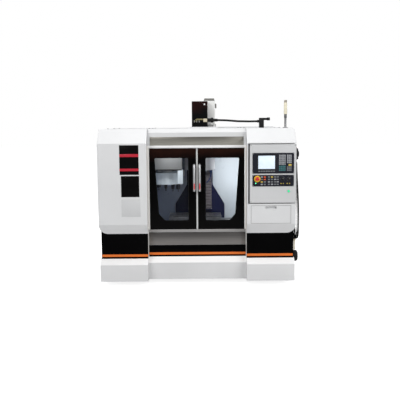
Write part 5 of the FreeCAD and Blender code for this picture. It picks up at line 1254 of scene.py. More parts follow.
@dataclass
class Pendant:
    """Control pendant: display, keys, operator panel and buttons.

    Args:
        unit_proud: how far the display and key unit stands in front of the cabinets.
        panel_proud: the same of the operator panel.
        screen: lower left and upper right corner of the screen (x, z).
        rim: the same of its rim.
        reset: the same of the reset key.
        fields: fields of keys beside and under the screen.
        columns: left edges of the operator panel's keys.
        rows: middles of the operator panel's keys.
        mode_key: width and height of these keys.
        stop: emergency stop's centre (x, z).
        start: start button's centre (x, z).
        lamp: power lamp's centre (x, z).
        knobs: centres of the override knobs along X.
        dial: radius of the marks round the knobs.
        selectors: centres of the selectors along X.
        selector_z: height of the selectors.
        stop_plate: profile of the ring under the emergency stop.
        stop_head: profile of the emergency stop.
        start_collar: profile of the ring round the start button.
        start_cap: profile of the start button.
        lamp_lens: profile of the power lamp.
        knob_grip: profile of a knob.
        knob_skirt: profile of its foot.
        selector_cap: profile of a selector.
        drawer: lower left and upper right corner of the drawer's front (x, z).
        drawer_line: width of the painted shadow line round it.
    """

    unit_proud: float = 0.0045
    panel_proud: float = 0.004
    screen: tuple[Pair, Pair] = ((0.567, 1.160), (0.731, 1.290))
    rim: tuple[Pair, Pair] = ((0.556, 1.150), (0.742, 1.301))
    reset: tuple[Pair, Pair] = ((0.862, 1.190), (0.891, 1.207))
    fields: tuple[KeyField, ...] = (
        KeyField("soft_keys", (0.568, 1.132), (0.730, 1.144), (7, 1), KEY, 0.004),
        KeyField("letter_keys", (0.769, 1.200), (0.833, 1.298), (5, 6), KEY_PALE),
        KeyField("number_keys", (0.847, 1.216), (0.891, 1.298), (3, 5), KEY_PALE),
        KeyField("edit_keys", (0.847, 1.140), (0.891, 1.184), (3, 3), KEY),
        KeyField("teal_keys", (0.769, 1.140), (0.833, 1.192), (4, 3), KEY_TEAL))
    columns: tuple[float, ...] = (0.592, 0.6215, 0.662, 0.692, 0.722, 0.748)
    rows: tuple[float, ...] = (1.010, 1.034, 1.058, 1.082)
    mode_key: Pair = (0.020, 0.012)
    stop: Pair = (0.558, 1.064)
    start: Pair = (0.865, 0.942)
    lamp: Pair = (0.5436, 1.021)
    knobs: Pair = (0.807, 0.868)
    dial: float = 0.021
    selectors: tuple[float, ...] = (0.790, 0.812, 0.850, 0.874)
    selector_z: float = 1.018
    stop_plate: Profile = ((0.0165, 0.0), (0.0305, 0.0), (0.0315, 0.0006), (0.0305, 0.0012), (0.0165, 0.0012))
    stop_head: Profile = ((0.011, -0.026), (0.011, 0.019), (0.018, 0.020), (0.0194, 0.0222), (0.020, 0.0246),
                          (0.0196, 0.0272), (0.0180, 0.0302), (0.0150, 0.0325), (0.0085, 0.0338),
                          (0.0, 0.0340))
    start_collar: Profile = ((0.0125, 0.0), (0.0150, 0.0), (0.0150, 0.003), (0.0140, 0.0045),
                             (0.0125, 0.0045))
    start_cap: Profile = ((0.008, -0.020), (0.008, 0.0055), (0.011, 0.0055), (0.011, 0.0070),
                          (0.0104, 0.0082), (0.009, 0.0089), (0.0, 0.0090))
    lamp_lens: Profile = ((0.0055, 0.0), (0.0055, 0.0015), (0.0035, 0.003), (0.0, 0.0035))
    knob_grip: Profile = ((0.014, 0.005), (0.014, 0.0195), (0.0132, 0.0218), (0.012, 0.0229), (0.0, 0.0229))
    knob_skirt: Profile = ((0.0175, 0.0041), (0.0175, 0.0052), (0.0158, 0.0066), (0.0135, 0.0070))
    selector_cap: Profile = ((0.0052, 0.0), (0.0052, 0.004), (0.0042, 0.0055), (0.0, 0.0055))
    drawer: tuple[Pair, Pair] = ((0.5015, 0.6265), (0.8885, 0.7995))
    drawer_line: float = 0.003

    def build_display(self) -> None:
        """Lit screen, its rim, the soft keys and both key fields."""
        (x0, z0), (x1, z1) = self.screen
        screen = slab((x0, FRONT_Y - 0.0040, z0), (x1, FRONT_Y - 0.0026, z1), 0.001)
        piece("screen", screen, SCREEN, "pendant")
        rim = framed(rectangle(*self.rim), rectangle(*self.screen), FRONT_Y - 0.0078, FRONT_Y - 0.0028)
        piece("screen_rim", rim, PLASTIC, "pendant")
        face = FRONT_Y - self.unit_proud
        for field in self.fields:
            field.build(face)
        (x0, z0), (x1, z1) = self.reset
        piece("reset_key", slab((x0, FRONT_Y - 0.0078, z0), (x1, face, z1), 0.0015), KEY_YELLOW, "pendant")

    def build_operator(self) -> None:
        """Keys, stop plate, power lamp and the knobs' dial marks and pointers."""
        face = FRONT_Y - self.panel_proud
        picked = {(1, 3): KEY_ORANGE, (1, 2): KEY_ORANGE, (3, 3): KEY_YELLOW, (0, 1): KEY_YELLOW}
        groups = {finish: bmesh.new() for finish in (KEY, KEY_PALE, KEY_ORANGE, KEY_YELLOW)}
        for column, x in enumerate(self.columns):
            for row, z in enumerate(self.rows):
                finish = picked.get((column, row), KEY if (row + column) % 3 else KEY_PALE)
                add_key(groups[finish], x, z - self.mode_key[1] / 2, self.mode_key, face)
        for finish, mesh in groups.items():
            piece(f"mode_keys_{finish.name}", mesh, finish, "pendant")
        x, z = self.stop
        plate = turned(self.stop_plate, (x, FRONT_Y - 0.0101, z), FRONT, 40)
        piece("stop_plate", plate, YELLOW, "pendant")
        lamp = turned(self.lamp_lens, (self.lamp[0], face, self.lamp[1]), FRONT, 20)
        piece("power_lamp", lamp, LED, "pendant")
        marks = bmesh.new()
        for knob in self.knobs:
            for step in range(11):
                angle = math.radians(-135 + step * 27)
                x, mark_z = knob + self.dial * math.sin(angle), z + self.dial * math.cos(angle)
                slab((x - 0.0007, face - 0.0003, mark_z - 0.0018), (x + 0.0007, face + SUNK, mark_z + 0.0018),
                     0.0001, 1, marks)
        piece("dial_marks", marks, KEY_PALE, "pendant")
        for knob, body in zip(self.knobs, ("feed_knob", "spindle_knob")):
            line = slab((knob - 0.001, FRONT_Y - 0.0235, z + 0.001),
                        (knob + 0.001, FRONT_Y - 0.0229, z + 0.010), 0.0002)
            piece(f"{body}_pointer", line, WHITE, body)

    def build_buttons(self) -> None:
        """Stop, start and both override knobs in round form."""
        (x, z), (start_x, start_z) = self.stop, self.start
        head = turned(self.stop_head, (x, FRONT_Y, z), FRONT, 48)
        stand_in("estop_button", head, RED, "estop")
        cap = turned(self.start_cap, (start_x, FRONT_Y, start_z), FRONT, 40)
        stand_in("start_button", cap, GREEN, "start")
        for knob, body in zip(self.knobs, ("feed_knob", "spindle_knob")):
            mesh = turned(self.knob_grip, (knob, FRONT_Y, z), FRONT, 96, lobes=12)
            turned(self.knob_skirt, (knob, FRONT_Y, z), FRONT, 48, mesh)
            stand_in(body, mesh, PLASTIC, body)

    def build_small(self) -> None:
        """Screws of the pendant, the start button's collar and the selectors under the knobs."""
        mesh = bmesh.new()
        for proud, across, up, size in ((0.0, (0.499, 0.927), (0.838, 1.388), (0.0045, 0.0025)),
                                        (0.006, (0.519, 0.909), (1.123, 1.309), (0.0032, 0.0015)),
                                        (0.004, (0.519, 0.909), (0.997, 1.094), (0.0032, 0.0015))):
            screws([(x, FRONT_Y - proud, z) for x in across for z in up], FRONT, *size, mesh)
        piece("pendant_screws", mesh, ZINC, "pendant")
        collar = turned(self.start_collar, (self.start[0], FRONT_Y, self.start[1]), FRONT, 32)
        piece("start_collar", collar, ZINC, "pendant")
        selectors = bmesh.new()
        for x in self.selectors:
            turned(self.selector_cap, (x, FRONT_Y - self.panel_proud, self.selector_z), FRONT, 20, selectors)
        piece("selector_caps", selectors, KEY_YELLOW, "pendant")

    def build_drawer_painted_shadow(self) -> None:
        """Grey strip round the drawer's front: painted shadow of the gap round it."""
        (x0, z0), (x1, z1), grow = *self.drawer, self.drawer_line
        outer = rectangle((x0 - grow, z0 - grow), (x1 + grow, z1 + grow))
        line = framed(outer, rectangle(*self.drawer), FRONT_Y - 0.0004, FRONT_Y + 0.0008)
        piece("drawer_painted_shadow", line, LIP_GREY, "frame")

    def build(self) -> None:
        """Dress the pendant and the drawer, and add keys and lamps."""
        dress(PALE, "pendant_box")
        dress(WHITE, "drawer")
        dress(PANEL, "control_unit", "operator_panel")
        self.build_display()
        self.build_operator()
        self.build_buttons()
        self.build_small()
        self.build_drawer_painted_shadow()


@dataclass
class Machine:
    """Castings, axes, spindle head and work area lining.

    Args:
        nose: underside of the spindle nose.
        groove: foot and head of the holders' gripping groove.
        disc_x: tool disc's centre along X.
        circle: radius of its pocket circle.
        hose: points of the coolant hose.
        hose_block: lowest and highest corner of the block that the hose hangs from.
        block_plug: profile of the plug in that block.
        cloth: lowest and highest corner of the head's bellows when the head is up.
        folds: pleats of the bellows.
        fold_inset: how far the pleats' inner edges lie behind their outer ones.
        travel: how far the head comes down; not used.
        rail_screws: X, first Y and Z of the bed rails' screws, on both sides.
        column_screws: X, Y and first Z of the column rails' screws, on both sides.
        screw_step: distance between them.
        flange_screws: radius and height of the screws round the spindle.
        guard: lowest and highest corners of the guard sheet and its folded foot and head.
        guard_side: lowest and highest corner of its side plate.
        guard_seal: lowest and highest corner of its seal.
        lamp: lowest and highest corner of the work lamp.
        lamp_lens: lowest and highest corner of its lens.
    """

    nose: float = 0.992
    groove: Pair = (0.970, 0.980)
    disc_x: float = -0.362
    circle: float = 0.150
    hose: tuple[Point, ...] = ((0.118, -0.210, 1.086), (0.118, -0.210, 1.058), (0.112, -0.204, 1.028),
                               (0.100, -0.196, 1.002), (0.084, -0.188, 0.982), (0.070, -0.182, 0.968))
    hose_block: Box = ((0.103, -0.224, 1.086), (0.133, -0.196, 1.110))
    block_plug: Profile = ((0.009, 0.0), (0.009, 0.004), (0.006, 0.005))
    cloth: Box = ((-0.134, 0.172, 0.640), (0.134, 0.196, 1.1095))
    folds: int = 14
    fold_inset: float = 0.011
    travel: float = 0.300
    rail_screws: Point = (0.200, -0.47, 0.456)
    column_screws: Point = (0.095, 0.204, 0.72)
    screw_step: float = 0.06
    flange_screws: Pair = (0.0665, 1.092)
    guard: tuple[Box, ...] = (((-0.508, -0.402, 1.132), (-0.186, -0.4005, 1.452)),
                              ((-0.508, -0.402, 1.1305), (-0.186, -0.388, 1.1325)),
                              ((-0.508, -0.402, 1.450), (-0.186, -0.376, 1.4518)))
    guard_side: Box = ((-0.232, -0.4008, 0.978), (-0.177, -0.3995, 1.1300))
    guard_seal: Box = ((-0.508, -0.404, 1.122), (-0.186, -0.398, 1.1312))
    lamp: Box = ((0.480, -0.630, 1.452), (0.556, -0.330, 1.480))
    lamp_lens: Box = ((0.488, -0.620, 1.449), (0.548, -0.340, 1.4525))

    def holder_profile(self, index: int) -> list[Pair]:
        """Profile of a holder with its tool, by radius and height.

        Args:
            index: its pocket, by which tools differ.

        Returns:
            The profile from the tool's tip up to the pull stud.
        """
        body, foot = 0.015 + 0.003 * (index % 3), self.nose - 0.062 - 0.008 * (index % 4)
        top, (low, high) = self.nose - 0.0025, self.groove
        tool = [(0.0, foot - 0.026), (0.0042, foot - 0.0255), (0.005, foot - 0.024), (0.005, foot)]
        chuck = [(body - 0.002, foot), (body, foot + 0.002), (body + 0.001, self.nose - 0.034)]
        flange = [(0.0220, self.nose - 0.032), (0.023, self.nose - 0.031), (0.023, low - 0.0002),
                  (0.019, low + 0.0002), (0.019, high - 0.0002), (0.023, high + 0.0002),
                  (0.023, top - 0.001), (0.022, top)]
        taper = [(0.0218, top), (0.0122, top + 0.0650)]
        stud = [(0.006, top + 0.0652), (0.006, top + 0.0700), (0.0085, top + 0.0710), (0.0085, top + 0.0740),
                (0.0, top + 0.0745)]
        return tool + chuck + flange + taper + stud

    def build_holders(self) -> None:
        """Tool holders in the outer pockets, with grooved flanges, key slots and tools."""
        every = bmesh.new()
        for index in range(6, 12):
            turn = math.radians(index * 30)
            centre = self.disc_x + self.circle * math.cos(turn), SPINDLE_Y + self.circle * math.sin(turn), 0.0
            slots = bmesh.new()
            for left, right in ((-0.030, -0.0165), (0.0165, 0.030)):
                slab((left, -0.0082, self.nose - 0.014), (right, 0.0082, self.nose + 0.010), 0.0, 1, slots)
            mesh = carved(turned(self.holder_profile(index), (0, 0, 0), UP, 40), slots)
            mesh.transform(Matrix.Translation(centre) @ Matrix.Rotation(turn, 4, "Z"))
            merged(mesh, every)
        stand_in("tool_holders", every, HOLDER_STEEL, "carousel")

    def build_hose(self) -> None:
        """Jointed coolant hose: one tapered cup and ball to every link, with its nozzle."""
        x, y, z = self.hose[0]
        mesh = slab(*self.hose_block, 0.003, 2)
        turned(self.block_plug, (x, y - 0.014, z + 0.012), FRONT, 24, mesh)
        for start, end in zip(self.hose, self.hose[1:]):
            way = Vector(end) - Vector(start)
            slim, long = 0.5 if end == self.hose[-1] else 0.74, way.length
            cup = [(0.0045, -0.001), (0.0062, 0.0), (0.007, 0.002), (0.007, long * 0.34),
                   (0.007 * slim, long * 0.72), (0.007 * slim, long - 0.001),
                   (0.0052 * slim / 0.74, long + 0.001)]
            turned(cup, start, tuple(way.normalized()), 24, mesh)
        stand_in("coolant_hose", mesh, BLUE, "head")

    def build_bellows(self) -> None:
        """Pleated cloth under the head."""
        (x0, y0, z0), (x1, y1, z1) = self.cloth
        pitch, deep = (z1 - z0) / self.folds, self.fold_inset
        pleat = ((0.0012, 0.42), (0.0, 0.50), (0.0012, 0.58), (deep - 0.0005, 0.95), (deep, 1.0))
        line = [(y0 + deep, z0)] + [(y0 + inset, z0 + (fold + share) * pitch)
                                    for fold in range(self.folds) for inset, share in pleat]
        mesh = bmesh.new()
        rows = [[mesh.verts.new((x, min(y + inset, y1), z)) for y, z in line]
                for x, inset in ((x0, 0.010), (x0 + 0.0035, 0.0), (x1 - 0.0035, 0.0), (x1, 0.010))]
        back = [[mesh.verts.new((x, y1, z)) for _, z in line] for x in (x0, x1)]
        for row, following in zip([back[0]] + rows, rows + [back[1]]):
            for k in range(len(line) - 1):
                mesh.faces.new((row[k], following[k], following[k + 1], row[k + 1]))
        bmesh.ops.recalc_face_normals(mesh, faces=mesh.faces[:])
        made = stand_in("z_bellows", mesh, CLOTH, "frame", 0.5)
        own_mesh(made)
        clamps = slab((x0 - 0.002, y0 + 0.002, z0 - 0.010), (x1 + 0.002, y1 + 0.006, z0 + 0.002), 0.001)
        piece("bellows_foot_clamp", clamps, STEEL, "frame")

    def build_screws(self) -> None:
        """Socket screws along the rails and on the cartridge's flange."""
        x, y, z = self.rail_screws
        mesh = screws([(side * x, y + i * self.screw_step, z) for side in (-1, 1) for i in range(11)],
                      UP, 0.0055, 0.0002)
        x, y, z = self.column_screws
        screws([(side * x, y, z + i * self.screw_step) for side in (-1, 1) for i in range(13)],
               FRONT, 0.0055, 0.0008, mesh)
        piece("rail_screws", mesh, STEEL, "frame")
        radius, z = self.flange_screws
        circle = [(radius * math.cos(math.radians(a)), SPINDLE_Y + radius * math.sin(math.radians(a)), z)
                  for a in range(22, 382, 60)]
        piece("flange_screws", screws(circle, DOWN, 0.005, 0.005), SCREW, "head")

    def build_guard(self) -> None:
        """Plain sheet that hangs in front of the changer's drive, with its side plate and seal."""
        mesh = bmesh.new()
        for box, steps in zip(self.guard, (2, 1, 1)):
            slab(*box, 0.0005, steps, mesh)
        piece("changer_guard", mesh, GUARD, "frame")
        piece("changer_guard_side", slab(*self.guard_side, 0.0005), DRUM_WHITE, "frame")
        piece("changer_guard_seal", slab(*self.guard_seal, 0.001), RUBBER, "frame")

    def build_lamp(self) -> None:
        """Work lamp under the roof at the right, lit softly."""
        piece("work_lamp", slab(*self.lamp, 0.008, 3), MOTOR, "frame")
        piece("work_lamp_lens", slab(*self.lamp_lens, 0.001), LAMP, "frame")

    def build(self) -> None:
        """Dress the machine."""
        dress(CASTING, "bed", "column")
        dress(SADDLE_GREY, "saddle")
        dress(STEEL, "guide_rails")
        dress(GROUND, "table")
        dress(TUB, "splash_tub")
        dress(HEAD_WHITE, "head")
        dress(DRUM_WHITE, "changer_cover")
        dress(MACHINE, "changer_carriage", "changer_beam")
        dress(SPINDLE_STEEL, "spindle_cartridge", "spindle_shaft")
        dress(MOTOR, "spindle_motor")
        for finish, node in zip(THREADS, ("x_screw", "y_screw", "z_screw")):
            dress(finish, node)
        dress(DISC, "tool_disc")
        self.build_holders()
        self.build_hose()
        self.build_bellows()
        self.build_screws()
        self.build_guard()
        self.build_lamp()


@dataclass
class TopDrive:
    """Z drive cover, its motor, the conduit and the signal light.

    Args:
        conduit: points of the conduit's centreline after its gland.
        conduit_radius: its radius.
        rib: half the distance between its ribs.
        gland_x: where the gland leaves the cover.
        gland: profile of the gland.
        cuff: profile of the conduit's end at the box.
        end_box: half the depth, foot, head and width of the box where it ends.
        outlet: profile of the plug on that box.
        outlet_z: height of that plug.
        light: where the signal light stands.
        light_tube: profile of its tube.
        light_lens: profile of its lens.
        light_cap: profile of its cap.
        cover: left and right edge and front of the Z drive's cover.
        cover_screws: heights of the screws at both edges of the cover.
        bolt: profile of the white bolt.
        bolt_z: its height.
        wires: how many wires and plugs there are.
        motor: Z motor's centre (x, y).
        motor_size: its width.
        motor_rise: foot and head of its body.
        stand_foot: foot of its stand.
        plug: half the width, reach, foot and head of its connector.
    """

    conduit: tuple[Point, ...] = ((0.206, 0.160, 1.643), (0.300, 0.160, 1.640), (0.430, 0.160, 1.629),
                                  (0.560, 0.160, 1.626), (0.664, 0.160, 1.627))
    conduit_radius: float = 0.012
    rib: float = 0.006
    gland_x: float = 0.092
    gland: Profile = ((0.022, 0.0), (0.022, 0.030), (0.019, 0.036), (0.028, 0.0362), (0.028, 0.0635),
                      (0.0265, 0.065), (0.0185, 0.066), (0.0165, 0.070), (0.0155, 0.110), (0.0135, 0.115))
    cuff: Profile = ((0.0135, -0.022), (0.0150, -0.020), (0.0150, 0.001))
    end_box: tuple[float, ...] = (0.030, 1.555, 1.665, 0.052)
    outlet: Profile = ((0.013, 0.0), (0.013, 0.038), (0.017, 0.0385), (0.017, 0.069), (0.0155, 0.0705),
                       (0.0, 0.0705))
    outlet_z: float = 1.652
    light: Point = (0.869, -0.550, 1.555)
    light_tube: Profile = ((0.026, 0.0), (0.026, 0.004), (0.024, 0.006), (0.012, 0.007), (0.011, 0.009),
                           (0.011, 0.099), (0.0135, 0.100), (0.014, 0.102), (0.014, 0.138))
    light_lens: Profile = ((0.0165, 0.138), (0.017, 0.140), (0.017, 0.195), (0.0163, 0.196), (0.017, 0.197),
                           (0.017, 0.252), (0.0150, 0.2535))
    light_cap: Profile = ((0.0150, 0.252), (0.0150, 0.274), (0.0138, 0.2775), (0.011, 0.279), (0.0, 0.279))
    cover: Point = (-0.084, 0.092, 0.135)
    cover_screws: Point = (1.600, 1.720, 1.843)
    bolt: Profile = ((0.0095, 0.0), (0.0095, 0.003), (0.0075, 0.0045), (0.0, 0.005))
    bolt_z: float = 1.818
    wires: int = 3
    motor: Pair = (0.115, 0.375)
    motor_size: float = 0.130
    motor_rise: Pair = (1.600, 1.868)
    stand_foot: float = 1.500
    plug: tuple[float, ...] = (0.020, 0.018, 1.780, 1.832)

    def conduit_path(self) -> list[Point]:
        """Points along the conduit, one to every half rib, with soft bends."""
        path = []
        for start, end in zip(self.conduit, self.conduit[1:]):
            first, last = Vector(start), Vector(end)
            steps = 2 * round((last - first).length / self.rib)
            path += [first.lerp(last, k / steps) for k in range(steps)]
        for _ in range(30):
            path = [path[0], *((a + b + c) / 3 for a, b, c in zip(path, path[1:], path[2:])), path[-1]]
        return [tuple(point) for point in path] + [self.conduit[-1]]

    def build_conduit(self) -> None:
        """Ribbed conduit with its glands and end box."""
        y, z = self.conduit[0][1:]
        mesh = swept(self.conduit_path(), self.conduit_radius, 20, waist=0.88)
        turned(self.gland, (self.gland_x, y, z), RIGHT, 40, mesh)
        end_x, end_z = self.conduit[-1][0] + 0.006, self.conduit[-1][2]
        turned(self.cuff, (end_x, y, end_z), RIGHT, 32, mesh)
        half, foot, head, wide = self.end_box
        slab((end_x, y - half, foot), (end_x + wide, y + half, head), 0.004, 3, mesh)
        turned(self.outlet, (end_x + wide - 0.002, y, self.outlet_z), RIGHT, 32, mesh)
        stand_in("power_conduit", mesh, CONDUIT, "frame")

    def build_light(self) -> None:
        """Signal light: polished tube, cream lens and its cap."""
        stand_in("signal_light", turned(self.light_tube, self.light, UP, 40), CHROME, "frame")
        piece("signal_lens", turned(self.light_lens, self.light, UP, 40), CREAM, "frame")
        piece("signal_cap", turned(self.light_cap, self.light, UP, 40), TAN, "frame")
        x, y, z = self.light
        feet = [(x + 0.019 * math.cos(a), y + 0.019 * math.sin(a), z + 0.006) for a in (0.5, 2.6, 4.7)]
        piece("signal_screws", screws(feet, UP, 0.0028, 0.0018), ZINC, "frame")

    def build_cover_trim(self) -> None:
        """White bolt, screws and the wires with their connectors on the Z drive's cover."""
        left, right, front = self.cover
        bolt = turned(self.bolt, (right - 0.034, front, self.bolt_z), FRONT, 24)
        piece("cover_bolt", bolt, WHITE, "frame")
        spots = [(x, front, z) for x in (left + 0.010, right - 0.010) for z in self.cover_screws]
        piece("cover_screws", screws(spots, FRONT, 0.0045, 0.0025), SCREW, "frame")
        plug = slab((right - 0.048, front - 0.014, 1.622), (right - 0.004, front + 0.001, 1.660), 0.003, 2)
        piece("drive_connector", plug, BEIGE, "frame")
        wires = bmesh.new()
        for index in range(self.wires):
            foot, z, near = left + index * 0.010, 1.657 - index * 0.005, front - 0.009
            run = [(foot + 0.030, front + 0.002, z - 0.030), (foot + 0.036, front - 0.006, z - 0.012),
                   (left + 0.056 + index * 0.006, near, z), (right - 0.070, near, z),
                   (right - 0.046, front - 0.008, z - 0.002)]
            swept(run, 0.0017, 8, wires)
        piece("drive_wires", wires, WIRE, "frame")
        plugs = bmesh.new()
        for index in range(self.wires):
            x = left + 0.022 + index * 0.027
            slab((x, front - 0.007, 1.618), (x + 0.012, front + 0.001, 1.640), 0.002, 2, plugs)
        piece("drive_plugs", plugs, CAP_GREY, "frame")

    def build_motor(self) -> None:
        """Z motor on its stand, with its grey cap and connector."""
        (x, y), half, (low, top) = self.motor, self.motor_size / 2, self.motor_rise
        foot, plate_top, wide = self.stand_foot, self.stand_foot + 0.016, half + 0.010
        mesh = slab((x - half, y - half, low), (x + half, y + half, top), 0.011, 4)
        turned([(half - 0.015, low - 0.030), (half - 0.015, low)], (x, y, 0), UP, 40, mesh)
        slab((self.cover[0] + 0.024, 0.302, foot), (x + wide, y + wide, foot + 0.018), 0.002, 2, mesh)
        for left, right in ((-wide, 0.003 - half), (half - 0.003, wide)):
            slab((x + left, y - half - 0.003, plate_top), (x + right, y + half + 0.003, low), 0.001, 1, mesh)
        slab((x - wide, y - wide, low - 0.012), (x + wide, y + wide, low + 0.004), 0.001, 2, mesh)
        stand_in("z_motor", mesh, MOTOR_WHITE, "frame")
        cap = bmesh.new()
        for reach, low, high, bevel, steps in ((half - 0.007, top - 0.002, top + 0.024, 0.009, 4),
                                               (half - 0.0005, top - 0.006, top - 0.001, 0.002, 1)):
            slab((x - reach, y - reach, low), (x + reach, y + reach, high), bevel, steps, cap)
        piece("motor_cap", cap, CAP_GREY, "frame")
        wide, reach, low, high = self.plug
        plug = slab((x + half - 0.001, y - wide, low), (x + half + reach, y + wide, high), 0.004, 3)
        piece("motor_connector", plug, CAP_GREY, "frame")
        bolts = [(x + a * (half - 0.009), y + b * (half - 0.009), top - 0.001)
                 for a in (-1, 1) for b in (-1, 1)]
        piece("motor_screws", screws(bolts, UP, 0.004, 0.003), ZINC, "frame")

    def build(self) -> None:
        """Dress what stands on the roof."""
        dress(COVER_BLACK, "z_drive_cover")
        self.build_conduit()
        self.build_light()
        self.build_cover_trim()
        self.build_motor()


@dataclass
class Rear:
    """Electrical cabinet with its door, handle and switch."""

    def build(self) -> None:
        """Dress the rear."""
        dress(PALE, "electrical_cabinet", "cabinet_door")
        dress(PLASTIC, "cabinet_handle")
        dress(RED, "main_switch")


@dataclass
class Flank:
    """Fittings on the right side: hand unit with its curly cord, air unit and auger motor.

    Args:
        route: control points of the cord.
        coil: radius of the cord's curls at their centreline.
        wire: radius of the cord itself.
        pitch: distance between curls.
        curl_points: points along one curl.
        straight: length over which the curls start and end.
        auger: where the auger motor's axis leaves the side.
        auger_foot: profile of its flange.
        auger_ribs: how many cooling ribs it has.
        auger_cowl: profile of its fan cowl.
        air: centre of the air unit's block.
        air_half: half the block's depth and height.
        air_back: where the block starts along X.
        air_knob: profile of its knob.
        air_bowl: profile of its bowl.
        air_ring: profile of the ring round the bowl.
        gauge_rim: profile of the gauge's rim.
        gauge_face: profile of its face.
        hand: centre of the hand unit's outer face.
        wheel: profile of its wheel.
        dimple: profile of the finger hole in it.
        dial: profile of the dial round it.
        hand_stop: profile of the stop button on its head.
        hand_stop_x: where that stands along X.
        hand_key: profile of its keys.
        key_step: distance between the keys.
    """

    route: tuple[Point, ...] = (
        (0.965, -0.652, 1.231), (0.965, -0.652, 1.160), (0.971, -0.654, 1.060), (0.978, -0.658, 0.930),
        (0.986, -0.662, 0.780), (0.990, -0.660, 0.630), (0.990, -0.652, 0.515), (0.986, -0.634, 0.447),
        (0.978, -0.598, 0.438), (0.968, -0.574, 0.490), (0.962, -0.568, 0.590), (0.960, -0.574, 0.740),
        (0.958, -0.586, 0.880), (0.957, -0.594, 0.980), (0.957, -0.594, 1.030))
    coil: float = 0.0122
    wire: float = 0.0034
    pitch: float = 0.0100
    curl_points: int = 14
    straight: float = 0.03
    auger: Point = (0.933, -0.520, 0.234)
    auger_foot: Profile = ((0.030, 0.0), (0.030, 0.008), (0.054, 0.008))
    auger_ribs: int = 6
    auger_cowl: Profile = ((0.0575, 0.053), (0.0575, 0.060), (0.056, 0.064), (0.046, 0.074), (0.030, 0.074),
                           (0.029, 0.071), (0.0, 0.071))
    air: Point = (0.964, -0.550, 0.431)
    air_half: Pair = (0.024, 0.021)
    air_back: float = 0.9335
    air_knob: Profile = ((0.014, 0.0), (0.014, 0.015), (0.0125, 0.018), (0.0, 0.018))
    air_bowl: Profile = ((0.0, -0.1330), (0.004, -0.1330), (0.005, -0.131), (0.010, -0.1305),
                         (0.0165, -0.125), (0.0195, -0.118), (0.0195, -0.030), (0.0185, -0.021))
    air_ring: Profile = ((0.0185, -0.034), (0.020, -0.033), (0.020, -0.022), (0.0185, -0.0205))
    gauge_rim: Profile = ((0.013, 0.0), (0.013, 0.006), (0.012, 0.007), (0.0112, 0.006))
    gauge_face: Profile = ((0.0113, 0.0), (0.0113, 0.0045), (0.0, 0.0045))
    hand: Point = (0.982, -0.640, 1.296)
    wheel: Profile = ((0.0, 0.0004), (0.029, 0.0004), (0.030, 0.003), (0.030, 0.009), (0.0285, 0.0112),
                      (0.026, 0.012), (0.0245, 0.0110), (0.010, 0.0108), (0.009, 0.0118), (0.0, 0.0118))
    dimple: Profile = ((0.0, 0.006), (0.004, 0.0065), (0.0062, 0.009), (0.0070, 0.016))
    dial: Profile = ((0.0335, 0.0), (0.0335, 0.0006), (0.0310, 0.0008))
    hand_stop: Profile = ((0.007, 0.0), (0.007, 0.005), (0.0095, 0.0055), (0.0095, 0.010), (0.007, 0.0125),
                          (0.0, 0.013))
    hand_stop_x: float = 0.970
    hand_key: Profile = ((0.0050, 0.0), (0.0050, 0.003), (0.0040, 0.004), (0.0, 0.004))
    key_step: float = 0.028

    def line(self) -> list[Vector]:
        """Points along the smooth line of the route."""
        curve = bpy.data.curves.new("route", "CURVE")
        curve.dimensions = "3D"
        curve.resolution_u = 24
        spline = curve.splines.new("NURBS")
        spline.points.add(len(self.route) - 1)
        for point, place in zip(spline.points, self.route):
            point.co = (*place, 1.0)
        spline.order_u = 3
        spline.use_endpoint_u = True
        holder = placed("route", curve)
        read = bpy.data.meshes.new_from_object(holder)
        points = [vertex.co.copy() for vertex in read.vertices]
        bpy.data.objects.remove(holder)
        bpy.data.curves.remove(curve)
        bpy.data.meshes.remove(read)
        return points

    def helix(self, line: list[Vector]) -> list[Vector]:
        """Curls round a line, straight at both ends.

        Args:
            line: the centreline.

        Returns:
            Points of the curled cord.
        """
        lengths = [0.0]
        for a, b in zip(line, line[1:]):
            lengths.append(lengths[-1] + (b - a).length)
        total = lengths[-1]
        count = int(total / self.pitch * self.curl_points)
        side = (line[1] - line[0]).orthogonal().normalized()
        points, at = [], 0
        for index in range(count + 1):
            along = total * index / count
            while at < len(line) - 2 and lengths[at + 1] < along:
                at += 1
            way = (line[at + 1] - line[at]).normalized()
            share = (along - lengths[at]) / max(lengths[at + 1] - lengths[at], 1e-9)
            centre = line[at].lerp(line[at + 1], min(max(share, 0.0), 1.0))
            side = (side - way * side.dot(way)).normalized()
            ease = min(1.0, along / self.straight, (total - along) / self.straight)
            angle = 2 * math.pi * index / self.curl_points
            curl = side * math.cos(angle) + way.cross(side) * math.sin(angle)
            points.append(centre + ease * self.coil * curl)
        return points

    def build_cord(self) -> None:
        """Curly cord from the hand unit down, round its loop and up to the hook."""
        points = self.helix(self.line())
        mesh = swept([tuple(p) for p in points], self.wire, 6)
        cord = piece("hand_unit_curly_cord", mesh, RUBBER, "frame", 1.2)
        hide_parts("hand_unit_cord")

    def build_auger(self) -> None:
        """Auger gear motor with ribs, fan cowl and terminal box."""
        x, y, z = self.auger
        ribs = list(self.auger_foot)
        for rib in range(self.auger_ribs):
            along = 0.010 + rib * 0.007
            ribs += [(0.058, along), (0.058, along + 0.003), (0.054, along + 0.0035), (0.054, along + 0.007)]
        mesh = turned([*ribs, *self.auger_cowl], self.auger, RIGHT, 48)
        slab((x + 0.020, y + 0.050, z - 0.024), (x + 0.058, y + 0.078, z + 0.024), 0.003, 2, mesh)
        for way in range(4):
            angle = math.radians(45 + 90 * way)
            bar_y, bar_z = y + 0.014 * math.cos(angle), z + 0.014 * math.sin(angle)
            slab((x + 0.0705, bar_y - 0.0012, bar_z - 0.010), (x + 0.0735, bar_y + 0.0012, bar_z + 0.010),
                 0.0005, 1, mesh)
        stand_in("auger_motor", mesh, MOTOR_BLACK, "frame")

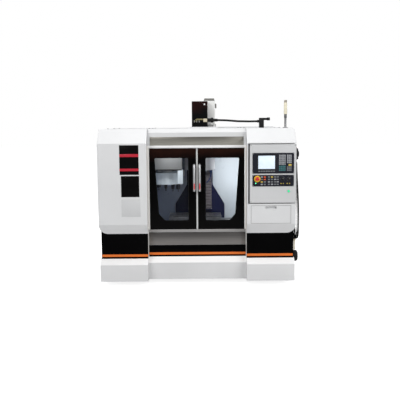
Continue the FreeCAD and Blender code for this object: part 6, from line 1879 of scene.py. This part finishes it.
    def build_air(self) -> None:
        """Air service unit: block, knob, bowl and gauge."""
        (x, y, z), (deep, tall) = self.air, self.air_half
        block = slab((self.air_back, y - deep, z - tall), (x + 0.020, y + deep, z + tall), 0.003, 3)
        stand_in("air_unit", block, BEIGE, "frame")
        gauge = (x - 0.002, y - deep, z)
        knob = turned(self.air_knob, (x, y, z + tall), UP, 72, lobes=18, swing=0.07)
        ring = turned(self.air_ring, self.air, UP, 72, lobes=24, swing=0.05)
        trims = (("knob", knob, PLASTIC), ("bowl", turned(self.air_bowl, self.air, UP, 40), BOWL),
                 ("bowl_ring", ring, BEIGE), ("gauge_rim", turned(self.gauge_rim, gauge, FRONT, 32), PLASTIC),
                 ("gauge_face", turned(self.gauge_face, gauge, FRONT, 32), WHITE))
        for name, mesh, finish in trims:
            piece(f"air_{name}", mesh, finish, "frame")

    def build_hand(self) -> None:
        """Hand unit with its wheel, dial, stop button and keys."""
        x, y, z = self.hand
        dress(PLASTIC, "hand_unit")
        wheel = turned(self.wheel, self.hand, RIGHT, 120, lobes=40, swing=0.025)
        dimple = turned(self.dimple, (x, y, z + 0.018), RIGHT, 24)
        stand_in("hand_wheel", carved(wheel, dimple), PLASTIC, "hand_wheel")
        piece("hand_wheel_dial", turned(self.dial, self.hand, RIGHT, 60), KEY_PALE, "frame")
        stop = turned(self.hand_stop, (self.hand_stop_x, y + 0.022, z + 0.054), UP, 32)
        piece("hand_unit_stop", stop, RED, "frame")
        keys = bmesh.new()
        for index in range(3):
            turned(self.hand_key, (x, y + (index - 1) * self.key_step, z - 0.043), RIGHT, 20, keys)
        piece("hand_unit_keys", keys, KEY_PALE, "frame")

    def build(self) -> None:
        """Dress the flank and hang the cord."""
        self.build_hand()
        self.build_air()
        self.build_auger()
        self.build_cord()


def main() -> None:
    """Build every sub-assembly in order."""
    logging.basicConfig(level=logging.INFO, format="%(message)s")
    for part in (Studio(), Enclosure(), Doors(), Pendant(), Machine(), TopDrive(), Rear(), Flank()):
        part.build()


if __name__ == "__main__":
    main()
